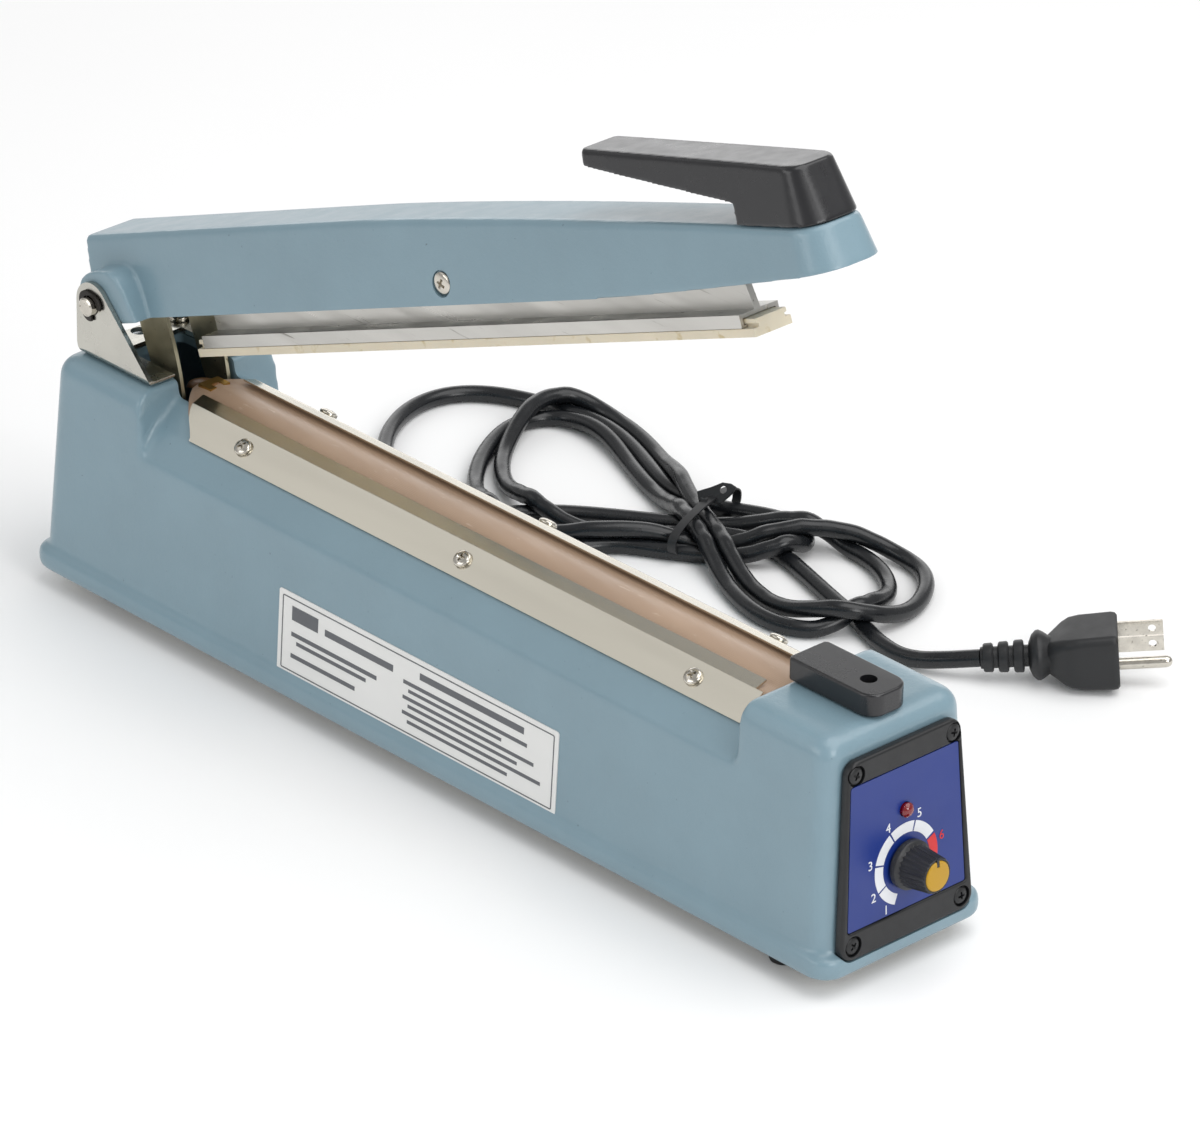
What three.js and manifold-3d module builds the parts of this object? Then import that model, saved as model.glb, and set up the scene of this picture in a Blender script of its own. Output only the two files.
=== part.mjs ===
// Tabletop impulse heat sealer for plastic film, with its mains cord bundled behind it.
//
// Millimetres, +Z up. X runs along the machine: the hinge end is at low X and the control
// panel faces +X. The origin is on the tabletop under the middle of the machine's own box.
// Sizes below are written in a working frame whose X = 0 is the rear end of the base flange;
// the whole group is shifted at the end.

import * as THREE from 'three';
import { mergeVertices } from 'three/addons/utils/BufferGeometryUtils.js';
import Module from 'manifold-3d';

const wasm = await Module();
wasm.setup();

// ---- driving dimensions -------------------------------------------------------------------

const GAP = 0.3; // clearance between pieces that rest on each other

const FOOT_HEIGHT = 8;
const BASE_LENGTH = 450;
const FLANGE_HALF = 42.5;
const FLANGE_TOP = 17;
const FLANGE_CORNER = 9;
const BASE_PLATE_Z = [8.6, 10.2];
const FOOT_RADIUS = 6.2;
const FOOT_PLACES = {
  rear_near: [34, -25.5],
  rear_far: [34, 25.5],
  front_near: [415, -28.5],
  front_far: [415, 28.5],
};

const WALL_HALF_LOW = 39.5; // half width of the side walls just above the flange
const WALL_HALF_CREASE = 36.6; // half width where the shoulders start
const CREASE_Z = 75.4;
const HOUSING_TOP = 101;
const HOUSING_EDGE = 8; // radius along the housings' top edges
const WALL_CORNER = 8;
const CASTING_WALL = 3.6;
const REAR_WALL_X = 3.3;
const FRONT_WALL_X = 445.5;
const WALL_START_Z = 16;
const END_DRAFT = 0.055; // both end walls lean in by this much per millimetre of height

const MIDDLE_REAR_X = 63.6; // low edge of the rear housing's front wall
const MIDDLE_REAR_TOP_X = 59;
const MIDDLE_FRONT_X = 394.7;

const PLATE_LOW = [27.8, 87.1]; // side plate, outer face: y and z of its lower edge
const PLATE_BEND = [15.4, 95.7];
const PLATE_LIP = [10.4, 97.3];
const PLATE_THICK = 0.8;
const PLATE_X = [69, 387.8];
const PLATE_CORNER = [ // x and z of what is cut off the plates' rear ends
  [50, 80], [81.3, 80], [81, 86.8], [73, 91.2], [69.6, 94.8], [69, 100], [50, 100],
];
const PLATE_SCREWS_X = [106.2, 231.9, 357.2];
const RIDGE_Z = 94; // casting surface beside the element bed

const BED_HALF = 8;
const BED_X = [68, 392];
const BED_FLOOR = 88;
const CLOTH_TOP = 96.9;
const CLOTH_THICK = 0.4;

const HINGE = new THREE.Vector3(23, 0, 125);
const OPEN_ANGLE = THREE.MathUtils.degToRad(21.3);
const PIN_RADIUS = 4;
const EAR_INSIDE = 26;
const EAR_THICK = 2;

const ARM_REAR_X = 9.8;
const ARM_BOTTOM = 116.2;
const ARM_DRAFT = 0.15; // sides of the arm widen by this much per millimetre downwards
const ARM_HALF_AT_TOP = 13.3;
const ARM_TOP = 149.4;
const NOSE_X_LOW = 441; // tip of the arm at its lower edge
const NOSE_LOW_Z = 120;
const NOSE_RAKE = 0.26;
const SEAM_X = 397; // the handle stands on the arm from here forwards

const BAR_X = [63.4, 381];
const BAR_HALF = 9.8;
const BAR_CHANNEL_Z = [100.8, 105.8];
const WEB_HALF = 1.5;
const STRIP_BOTTOM = 97.2;
const STRIP_X = [58, 387];
const PIVOT = [227.1, 124.3];

const LINK_PIN = new THREE.Vector3(39, 0, 74); // cross pin at the linkage's low end, arm shut
const SPRING_ANCHOR = new THREE.Vector3(120.5, 0, 62);
const SWITCH_BOTTOM = 45;

const PANEL_ORIGIN = new THREE.Vector3(450, 0, 16); // front face of the bezel at its low end
const PANEL_LEAN = 0.0617;
const BEZEL_THICK = 4.2;
const KNOB_V = 27.8; // height of the knob's axis up the panel
const LAMP_V = 49.5;

const CORD_RADIUS = 3.5;
const CORD_EXIT = [60, 28]; // x and z of the cord's exit in the far wall
const RELIEF_LENGTH = 28;

// ---- colours and finishes -----------------------------------------------------------------

const FINISH = {
  paint: [0x7d9fae, 0.42, 0.0],
  blackPlastic: [0x24262a, 0.35, 0.0],
  blackRubber: [0x151618, 0.75, 0.0],
  stainless: [0xb9b5aa, 0.25, 0.9],
  zinc: [0xc4c0b4, 0.3, 0.9],
  yellowZinc: [0xb59a5c, 0.4, 0.8],
  aluminium: [0xc2c3c0, 0.45, 0.9],
  silicone: [0xcdbfa4, 0.6, 0.0],
  cloth: [0xb0957e, 0.55, 0.0],
  brass: [0xb08d4a, 0.4, 0.8],
  panelBlue: [0x1f3fa8, 0.4, 0.0],
  lampRed: [0x8d1020, 0.2, 0.0],
  capYellow: [0xe6b21a, 0.4, 0.0],
  label: [0xe9e9e6, 0.5, 0.0],
  laminate: [0x5c5650, 0.5, 0.6],
  copper: [0x9c5a2c, 0.45, 0.5],
  board: [0x2e5b34, 0.5, 0.0],
  phenolic: [0x5b3a24, 0.6, 0.0],
};

function material(finish) {
  const [color, roughness, metalness] = FINISH[finish];
  return new THREE.MeshStandardMaterial({ color, roughness, metalness });
}

function piece(parent, name, geometry, finish) {
  const mesh = new THREE.Mesh(toGeometry(toSolid(geometry)), material(finish));
  mesh.name = name;
  parent.add(mesh);
  return mesh;
}

// ---- shape helpers ------------------------------------------------------------------------

function enclosedVolume(positions, index) {
  const corner = (i) => new THREE.Vector3().fromArray(positions, index[i] * 3);
  let volume = 0;
  for (let i = 0; i < index.length; i += 3) {
    volume += corner(i).dot(corner(i + 1).cross(corner(i + 2))) / 6;
  }
  return volume;
}

// Faces that come out wound inwards are turned over.
function toSolid(geometry) {
  const bare = geometry.clone();
  bare.deleteAttribute('normal');
  bare.deleteAttribute('uv');
  const merged = mergeVertices(bare, 1e-4);
  const vertProperties = new Float32Array(merged.attributes.position.array);
  const triVerts = new Uint32Array(merged.index.array);
  if (enclosedVolume(vertProperties, triVerts) < 0) {
    triVerts.reverse();
  }
  return new wasm.Manifold(new wasm.Mesh({ numProp: 3, vertProperties, triVerts }));
}

function toGeometry(solid) {
  const mesh = solid.getMesh();
  const geometry = new THREE.BufferGeometry();
  geometry.setAttribute('position', new THREE.BufferAttribute(mesh.vertProperties, 3));
  geometry.setIndex(new THREE.BufferAttribute(mesh.triVerts, 1));
  geometry.computeVertexNormals();
  return geometry;
}

// cut(a, [b, c]) takes the tools away from a, join([a, b]) makes one body of them.
function cut(geometry, tools) {
  let solid = toSolid(geometry);
  for (const tool of tools) {
    solid = solid.subtract(toSolid(tool));
  }
  return toGeometry(solid);
}

function join(geometries) {
  let solid = toSolid(geometries[0]);
  for (const other of geometries.slice(1)) {
    solid = solid.add(toSolid(other));
  }
  return toGeometry(solid);
}

function box([x0, x1], [y0, y1], [z0, z1]) {
  const geometry = new THREE.BoxGeometry(x1 - x0, y1 - y0, z1 - z0);
  return geometry.translate((x0 + x1) / 2, (y0 + y1) / 2, (z0 + z1) / 2);
}

// Extrusion of an outline along X (outline in y, z), Y (outline in x, z) or Z (outline in x, y).
function prism(axis, outline, [from, to], holes = []) {
  const corners = outline.map(([a, b]) => new THREE.Vector2(a, b));
  const shape = new THREE.Shape(THREE.ShapeUtils.isClockWise(corners) ? corners.reverse() : corners);
  shape.holes = holes.map((hole) => new THREE.Path(hole.map(([a, b]) => new THREE.Vector2(a, b))));
  const geometry = new THREE.ExtrudeGeometry(shape, { depth: to - from, bevelEnabled: false });
  const turn = new THREE.Matrix4();
  if (axis === 'x') {
    turn.set(0, 0, 1, from, 1, 0, 0, 0, 0, 1, 0, 0, 0, 0, 0, 1);
  } else if (axis === 'y') {
    turn.set(1, 0, 0, 0, 0, 0, -1, to, 0, 1, 0, 0, 0, 0, 0, 1);
  } else {
    turn.makeTranslation(0, 0, from);
  }
  return geometry.applyMatrix4(turn);
}

// Turned piece: profile of [radius, height] pairs about +Z, starting and ending on the axis
// or closed on itself, then laid along the given axis.
function turned(profile, axis = 'z', segments = 24) {
  const points = profile.map(([r, h]) => new THREE.Vector2(r, h));
  const geometry = new THREE.LatheGeometry(points, segments);
  if (axis === 'x') {
    return geometry.rotateZ(-Math.PI / 2);
  }
  if (axis === 'z') {
    return geometry.rotateX(Math.PI / 2);
  }
  return geometry;
}

function rod(axis, radius, [from, to], segments = 20) {
  return turned([[0, from], [radius, from], [radius, to], [0, to]], axis, segments);
}

// Points along an arc in a plane, angles in degrees.
function arc(cx, cy, radius, startDeg, endDeg, steps) {
  const points = [];
  for (let i = 0; i <= steps; i += 1) {
    const angle = THREE.MathUtils.degToRad(startDeg + ((endDeg - startDeg) * i) / steps);
    points.push([cx + radius * Math.cos(angle), cy + radius * Math.sin(angle)]);
  }
  return points;
}

// Rounded rectangle from x0 to x1, half wide on both sides of y = 0.
function plan(x0, x1, half, radius, steps = 4) {
  return [
    ...arc(x1 - radius, half - radius, radius, 0, 90, steps),
    ...arc(x0 + radius, half - radius, radius, 90, 180, steps),
    ...arc(x0 + radius, -half + radius, radius, 180, 270, steps),
    ...arc(x1 - radius, -half + radius, radius, 270, 360, steps),
  ];
}

// Closed skin through rings of equal point counts, with a flat fan on each end.
function loft(rings) {
  const count = rings[0].length;
  const positions = rings.flat().flatMap((p) => [p.x, p.y, p.z]);
  const centres = [rings[0], rings[rings.length - 1]].map((ring) => {
    const centre = ring.reduce((sum, p) => sum.add(p), new THREE.Vector3());
    return centre.divideScalar(count);
  });
  centres.forEach((c) => positions.push(c.x, c.y, c.z));
  const first = rings.length * count;
  const index = [];
  for (let i = 0; i < count; i += 1) {
    const next = (i + 1) % count;
    for (let r = 0; r < rings.length - 1; r += 1) {
      const low = r * count;
      const high = low + count;
      index.push(low + i, low + next, high + next, low + i, high + next, high + i);
    }
    const top = (rings.length - 1) * count;
    index.push(first, next, i, first + 1, top + i, top + next);
  }
  const geometry = new THREE.BufferGeometry();
  geometry.setAttribute('position', new THREE.Float32BufferAttribute(positions, 3));
  geometry.setIndex(index);
  return geometry;
}

function level(outline, z) {
  return outline.map(([x, y]) => new THREE.Vector3(x, y, z));
}

// Tube of a round section along a smooth curve through hand-chosen points.
function tube(route, radius, steps, sides = 10) {
  const curve = new THREE.CatmullRomCurve3(route.map((p) => new THREE.Vector3(...p)), false, 'centripetal');
  const section = new THREE.Shape(arc(0, 0, radius, 0, 360 - 360 / sides, sides - 1)
    .map(([a, b]) => new THREE.Vector2(a, b)));
  return new THREE.ExtrudeGeometry(section, { steps, extrudePath: curve, bevelEnabled: false });
}

// ---- base casting -------------------------------------------------------------------------

const wallHalf = (z) => WALL_HALF_LOW
  - ((z - WALL_START_Z) * (WALL_HALF_LOW - WALL_HALF_CREASE)) / (CREASE_Z - WALL_START_Z);
const rearX = (z) => REAR_WALL_X + (z - WALL_START_Z) * END_DRAFT;
const frontX = (z) => FRONT_WALL_X - (z - WALL_START_Z) * PANEL_LEAN;

function wallRing(z, inset, corner) {
  return level(plan(rearX(z) + inset, frontX(z) - inset, wallHalf(z) - inset, corner), z);
}

// Walls up to the housings' tops, rounded over along the top edges.
function housingBlock(inset, bottom, top, edge) {
  const rings = [wallRing(bottom, inset, WALL_CORNER - inset / 2)];
  for (const degrees of [0, 30, 60, 90]) {
    const angle = THREE.MathUtils.degToRad(degrees);
    const fold = edge * (1 - Math.cos(angle));
    const corner = Math.max(WALL_CORNER - inset / 2 - fold, 0.6);
    rings.push(wallRing(top - edge + edge * Math.sin(angle), inset + fold, corner));
  }
  return loft(rings);
}

// Cross-section of the middle of the base: shoulders that lean in to the ridge.
function shoulderOutline(drop) {
  const [yLow, zLow] = PLATE_LOW;
  const [yBend] = PLATE_BEND;
  const slope = [[44, 66.4], [yLow - 0.1, zLow - 1.3], [yBend + 0.2, RIDGE_Z + 0.2], [yBend - 1, RIDGE_Z]]
    .map(([y, z]) => [y - drop * 0.7, z - drop]);
  const mirrored = slope.map(([y, z]) => [-y, z]).reverse();
  return [[-44, 40], [44, 40], ...slope, ...mirrored];
}

function aboveShoulders(drop, margin) {
  const span = prism('y', [
    [MIDDLE_REAR_X + 0.4 - margin, 66],
    [MIDDLE_FRONT_X + margin, 66],
    [MIDDLE_FRONT_X + margin, 112],
    [MIDDLE_REAR_TOP_X - 1.6 - margin, 112],
  ], [-60, 60]);
  return cut(span, [prism('x', shoulderOutline(drop), [20, 430])]);
}

function screwAxisOnPlate() {
  const [yLow, zLow] = PLATE_LOW;
  const [yBend, zBend] = PLATE_BEND;
  return { y: (yLow + yBend) / 2, z: (zLow + zBend) / 2, lean: Math.atan2(zBend - zLow, yLow - yBend) };
}

// Puts a piece made along +Z onto the near or far side plate, at right angles to it.
function ontoPlate(geometry, x, side) {
  const { y, z, lean } = screwAxisOnPlate();
  return geometry.rotateX(-side * lean).translate(x, side * y, z);
}

function bodyCasting() {
  const flangeFold = 2.2;
  const flange = loft([
    level(plan(1, BASE_LENGTH - 1, FLANGE_HALF - 1, FLANGE_CORNER), FOOT_HEIGHT),
    level(plan(0, BASE_LENGTH, FLANGE_HALF, FLANGE_CORNER), FOOT_HEIGHT + 1.5),
    level(plan(0, BASE_LENGTH, FLANGE_HALF, FLANGE_CORNER), FLANGE_TOP - flangeFold),
    level(plan(0.7, BASE_LENGTH - 0.7, FLANGE_HALF - 0.7, FLANGE_CORNER), FLANGE_TOP - 0.6),
    level(plan(flangeFold, BASE_LENGTH - flangeFold, FLANGE_HALF - flangeFold, FLANGE_CORNER), FLANGE_TOP),
  ]);
  const walls = cut(housingBlock(0, WALL_START_Z - 2, HOUSING_TOP, HOUSING_EDGE), [aboveShoulders(0, 0)]);
  const hollow = cut(
    housingBlock(CASTING_WALL, 4, HOUSING_TOP - CASTING_WALL, HOUSING_EDGE - 3),
    [aboveShoulders(CASTING_WALL * 1.6, CASTING_WALL)],
  );
  const bedBlock = box([BED_X[0] - 4, BED_X[1] + 4], [-BED_HALF - 4, BED_HALF + 4], [84.5, 93]);
  const hollowUnderBed = cut(hollow, [bedBlock]);

  const recess = prism('z', plan(4.5, BASE_LENGTH - 4.5, FLANGE_HALF - 4, 6), [0, FOOT_HEIGHT + 2.6]);
  const bedSlot = box([BED_X[0] - GAP, BED_X[1] + GAP], [-BED_HALF - GAP, BED_HALF + GAP], [BED_FLOOR, 110]);
  const linkageWell = box([27, BED_X[0]], [-14.5, 14.5], [84, 120]);
  const terminalWell = box([BED_X[1], 412], [-6.5, 6.5], [BED_FLOOR, 120]);
  const panelWindow = box([425, 460], [-22, 22], [27, 76]);
  const cordHole = rod('y', 5.2, [20, 60], 16).translate(CORD_EXIT[0], 0, CORD_EXIT[1]);
  const coverScrewHole = rod('z', 1.9, [90, 110], 10).translate(425.5, 0, 0);
  const plateScrewHoles = PLATE_SCREWS_X.flatMap((x) => [-1, 1].map(
    (side) => ontoPlate(rod('z', 1.9, [-9, 3], 8), x, side),
  ));
  const bracketHoles = [-1, 1].map((side) => rod('z', 2.3, [90, 110], 10).translate(20.5, side * 19, 0));
  const seatOutline = trapezoid(-2 - GAP, 79, 34 + GAP, 29.2 + GAP, 6);
  const bezelSeat = ontoPanel(prism('x', seatOutline, [-BEZEL_THICK - GAP + 0.05, 6]));
  return cut(join([flange, walls]), [
    hollowUnderBed, recess, bedSlot, linkageWell, terminalWell, panelWindow, cordHole, coverScrewHole,
    ...plateScrewHoles, ...bracketHoles, bezelSeat,
  ]);
}

// Lays a piece made with X out of the panel and Z up along it onto the front of the machine.
function ontoPanel(geometry) {
  return geometry.rotateY(-PANEL_LEAN).translate(...PANEL_ORIGIN.toArray());
}

function foot() {
  const top = BASE_PLATE_Z[0] - GAP;
  const profile = [
    [0, 0], [FOOT_RADIUS - 1.2, 0], [FOOT_RADIUS - 0.6, 0.8], [FOOT_RADIUS + 0.4, top], [0, top],
  ];
  return turned(profile, 'z', 20);
}

function addBase(sealer) {
  piece(sealer, 'body_casting', bodyCasting(), 'paint');

  const inset = 4.5 + GAP;
  const sheet = prism('z', plan(inset, BASE_LENGTH - inset, FLANGE_HALF - 4 - GAP, 5.5), BASE_PLATE_Z);
  const standoffs = [];
  for (const x of [308, 372]) {
    for (const y of [-19, 19]) {
      standoffs.push(rod('z', 3, [10, 21.7], 10).translate(x, y, 0));
    }
  }
  const switchPost = box([12, 42], [5, 19], [10, SWITCH_BOTTOM - GAP]);
  const springPost = box(
    [SPRING_ANCHOR.x - 2.5, SPRING_ANCHOR.x + 2.5], [-4, 4], [10, SPRING_ANCHOR.z + 4],
  );
  piece(sealer, 'base_plate', join([sheet, ...standoffs, switchPost, springPost]), 'zinc');

  for (const [where, [x, y]] of Object.entries(FOOT_PLACES)) {
    piece(sealer, `foot_${where}`, foot().translate(x, y, 0), 'blackRubber');
  }
}

// ---- sealing bed --------------------------------------------------------------------------

function panScrew(headRadius, headHeight, shankRadius, shankLength) {
  return turned([
    [0, -shankLength], [shankRadius, -shankLength], [shankRadius, 0], [headRadius, 0],
    [headRadius, headHeight * 0.35], [headRadius * 0.8, headHeight * 0.8], [headRadius * 0.35, headHeight],
    [0, headHeight],
  ], 'z', 16);
}

function sidePlate(side) {
  const outer = [PLATE_LOW, PLATE_BEND, PLATE_LIP];
  const lean = screwAxisOnPlate().lean;
  const inner = [
    [PLATE_LIP[0], PLATE_LIP[1] - PLATE_THICK],
    [PLATE_BEND[0] - 0.2, PLATE_BEND[1] - PLATE_THICK],
    [PLATE_LOW[0] - PLATE_THICK * Math.sin(lean), PLATE_LOW[1] - PLATE_THICK * Math.cos(lean)],
  ];
  const outline = [...outer, ...inner].map(([y, z]) => [side * y, z]);
  const holes = PLATE_SCREWS_X.map((x) => ontoPlate(rod('z', 2.1, [-4, 4], 10), x, side));
  const rearCorner = prism('y', PLATE_CORNER, [-60, 60]);
  return cut(prism('x', outline, PLATE_X), [rearCorner, ...holes]);
}

function addBed(sealer) {
  const bedTop = [[-BED_HALF, 93.4], [-5, 94.9], [-2, 95.6], [2, 95.6], [5, 94.9], [BED_HALF, 93.4]];
  const bedOutline = [[-BED_HALF, BED_FLOOR + GAP], ...bedTop, [BED_HALF, BED_FLOOR + GAP]];
  piece(sealer, 'element_bed', prism('x', bedOutline, BED_X), 'phenolic');

  piece(sealer, 'heating_ribbon', box([66, 395.5], [-1.4, 1.4], [95.85, 96.15]), 'stainless');

  const over = [
    [-14, 94.7], [-9, 94.8], [-5, 96.2], [-2, CLOTH_TOP], [2, CLOTH_TOP], [5, 96.2], [9, 94.8], [14, 94.7],
  ];
  const under = over.map(([y, z]) => [y, z - CLOTH_THICK]).reverse();
  piece(sealer, 'ptfe_cloth', prism('x', [...over, ...under], [67.8, 393]), 'cloth');

  for (const [name, side] of [['near', -1], ['far', 1]]) {
    piece(sealer, `side_plate_${name}`, sidePlate(side), 'stainless');
    PLATE_SCREWS_X.forEach((x, i) => {
      const screw = ontoPlate(panScrew(3.7, 2.4, 1.6, 6).translate(0, 0, GAP), x, side);
      piece(sealer, `side_plate_screw_${name}_${i + 1}`, screw, 'stainless');
    });
  }

  const ribbonSlot = box([395, 401], [-1.9, 1.9], [95.4, 96.6]);
  const frontTerminal = cut(box([396, 404], [-5, 5], [BED_FLOOR + GAP, 98]), [ribbonSlot]);
  piece(sealer, 'terminal_front', frontTerminal, 'brass');

  const fork = cut(box([60, 67.4], [-5, 5], [85, 97]), [
    box([64, 68], [-1.9, 1.9], [95.2, 98]),
    rod('x', 1.6, [50, 64], 10).translate(0, 0, 89),
  ]);
  piece(sealer, 'terminal_rear', fork, 'brass');

  const coverOutline = [
    ...arc(431, 3.3, 6.7, 0, 90, 5), [393.5, 10], [393.5, -10], ...arc(431, -3.3, 6.7, 270, 360, 5),
  ];
  const cover = prism('z', coverOutline, [HOUSING_TOP + GAP, 110.6]);
  const coverBore = rod('z', 3.3, [104, 120], 18).translate(425.5, 0, 0);
  const coverShank = rod('z', 1.9, [95, 105], 10).translate(425.5, 0, 0);
  piece(sealer, 'terminal_cover', cut(cover, [coverBore, coverShank]), 'blackPlastic');
  const coverScrew = panScrew(2.8, 1.8, 1.5, 9).translate(425.5, 0, 104 + GAP);
  piece(sealer, 'terminal_cover_screw', coverScrew, 'zinc');
}

// ---- control panel ------------------------------------------------------------------------

// Outline in y and z that is symmetrical and narrower at the top, with round corners.
function trapezoid(bottom, top, halfBottom, halfTop, radius) {
  const steps = 4;
  return [
    ...arc(halfTop - radius, top - radius, radius, 0, 90, steps),
    ...arc(-halfTop + radius, top - radius, radius, 90, 180, steps),
    ...arc(-halfBottom + radius, bottom + radius, radius, 180, 270, steps),
    ...arc(halfBottom - radius, bottom + radius, radius, 270, 360, steps),
  ];
}

function addControls(sealer) {
  const front = new THREE.Group(); // local X points out of the panel, local Z up along it
  front.position.copy(PANEL_ORIGIN);
  front.rotation.y = -PANEL_LEAN;
  sealer.add(front);

  const screws = {
    top_near: [-25, 71.7], top_far: [25, 71.7], bottom_near: [-28, 3.9], bottom_far: [28, 3.9],
  };
  const screwHoles = Object.values(screws).flatMap(([y, z]) => [
    rod('x', 4, [-1.6, 2], 16).translate(0, y, z),
    rod('x', 1.7, [-6, 0], 10).translate(0, y, z),
  ]);
  const bezel = prism('x', trapezoid(-2, 77.2, 34, 29.2, 6), [-BEZEL_THICK, 0]);
  const bezelWindow = prism('x', trapezoid(9.3, 67.6, 30.5, 27.8, 1.2), [-10, 10]);
  piece(front, 'control_bezel', cut(bezel, [bezelWindow, ...screwHoles]), 'blackPlastic');
  for (const [where, [y, z]] of Object.entries(screws)) {
    const screw = turned([[0, -4], [1.4, -4], [1.4, -1.3], [3.5, -1.3], [3.3, 0], [0, 0.3]], 'x', 16);
    piece(front, `bezel_screw_${where}`, screw.translate(0, y, z), 'blackPlastic');
  }

  const plate = prism('x', trapezoid(9.6, 67.3, 30.2, 27.5, 0.9), [-BEZEL_THICK + GAP, -0.6]);
  const plateHoles = [
    rod('x', 5.4, [-10, 10], 16).translate(0, 0, KNOB_V),
    rod('x', 2.9, [-10, 10], 14).translate(0, 0, LAMP_V),
  ];
  piece(front, 'control_panel', cut(plate, plateHoles), 'panelBlue');

  const lamp = turned([[0, -9], [2.5, -9], [2.5, 0.4], [1.9, 1.5], [0.9, 2.2], [0, 2.4]], 'x', 16);
  piece(front, 'indicator_lens', lamp.translate(0, 0, LAMP_V), 'lampRed');

  const potentiometer = cut(
    join([rod('x', 12, [-22, -9], 24), rod('x', 5, [-10, -0.2], 16)]),
    [rod('x', PIN_RADIUS - 0.7, [-18, 5], 14)],
  );
  piece(front, 'timer_potentiometer', potentiometer.translate(0, 0, KNOB_V), 'zinc');
  piece(front, 'potentiometer_shaft', rod('x', 3, [-17.5, 11.5], 14).translate(0, 0, KNOB_V), 'zinc');

  const knob = turned([
    [3.3, 0.2], [9.6, 0.2], [9.6, 3.2], [8.3, 4], [7, 15.4], [6.2, 15.4], [6.2, 14.2],
    [3.3, 14.2], [3.3, 0.2],
  ], 'x', 24);
  const socketEnd = rod('x', 6, [12, 14], 16);
  piece(front, 'timer_knob', join([knob, socketEnd]).translate(0, 0, KNOB_V), 'blackPlastic');
  const cap = turned([[0, 14.5], [5.9, 14.5], [5.9, 15.6], [5, 15.9], [0, 16]], 'x', 24);
  piece(front, 'knob_cap', cap.translate(0, 0, KNOB_V), 'capYellow');
}

// ---- parts inside the base ----------------------------------------------------------------

function addInternals(machine) {
  const leg = [180, 202]; // centre leg of the core, between the two winding windows
  const windows = [[168.5, leg[0]], [leg[1], 213.5]];
  const stack = cut(box([158, 224], [-18, 18], [13, 69]), windows.map((x) => box(x, [-40, 40], [24, 58])));
  const cradle = box([157, 225], [-24, 24], [10.5, 13.5]);
  piece(machine, 'transformer_core', join([stack, cradle]), 'laminate');

  const coil = box([169, 213], [-26, 26], [24.5, 57.5]);
  const legBore = box([leg[0] - GAP, leg[1] + GAP], [-18 - GAP, 18 + GAP], [0, 100]);
  piece(machine, 'transformer_winding', cut(coil, [legBore]), 'copper');

  const relay = box([325, 344], [-8, 8], [23, 38]);
  const capacitor = rod('z', 5, [23, 36], 12).translate(357, 8, 0);
  const board = join([box([300, 380], [-24, 24], [22, 23.6]), relay, capacitor]);
  piece(machine, 'timer_board', board, 'board');

  piece(machine, 'microswitch_body', box([14, 40], [6, 18], [SWITCH_BOTTOM, 58]), 'blackPlastic');
  const blade = [
    [17, 60.6], [20, 60.6], [43.6, 70.2], [44.6, 70.2], [44.6, 71], [43.2, 71], [19.7, 61.4], [17, 61.4],
  ];
  piece(machine, 'microswitch_lever', prism('y', blade, [9.5, 14.5]), 'stainless');
  addReturnSpring(machine);
}

// Extension spring from the linkage's cross pin, as it stands with the arm up, to the post.
function addReturnSpring(machine) {
  const turns = 10;
  const coilRadius = 4.2;
  const wireRadius = 0.8;
  const pin = LINK_PIN.clone().sub(HINGE).applyAxisAngle(new THREE.Vector3(0, 1, 0), -OPEN_ANGLE).add(HINGE);
  const direction = SPRING_ANCHOR.clone().sub(pin).normalize();
  const start = pin.clone().addScaledVector(direction, 3.2);
  const end = SPRING_ANCHOR.clone().addScaledVector(direction, -3.8);
  const across = new THREE.Vector3(-direction.z, 0, direction.x);
  const helix = new THREE.Curve();
  helix.getPoint = (t) => {
    const angle = t * turns * 2 * Math.PI;
    const radius = coilRadius * THREE.MathUtils.smoothstep(Math.min(t, 1 - t), 0, 0.2) + 0.001;
    const point = start.clone().lerp(end, t);
    point.addScaledVector(across, radius * Math.cos(angle));
    point.y += radius * Math.sin(angle);
    return point;
  };
  const wire = new THREE.Shape(arc(0, 0, wireRadius, 0, 288, 4).map(([a, b]) => new THREE.Vector2(a, b)));
  const sweep = { steps: turns * 8, extrudePath: helix, bevelEnabled: false };
  const spring = new THREE.ExtrudeGeometry(wire, sweep);
  piece(machine, 'return_spring', spring, 'zinc');
}

// ---- rear hinge ---------------------------------------------------------------------------

function earOutline(bottom) {
  const around = arc(HINGE.x, HINGE.z, 9.2, 180, 42, 6);
  return [[57.5, bottom], [15, bottom], [13.8, bottom + 5], ...around, [57.5, bottom + 2.4]];
}

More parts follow.
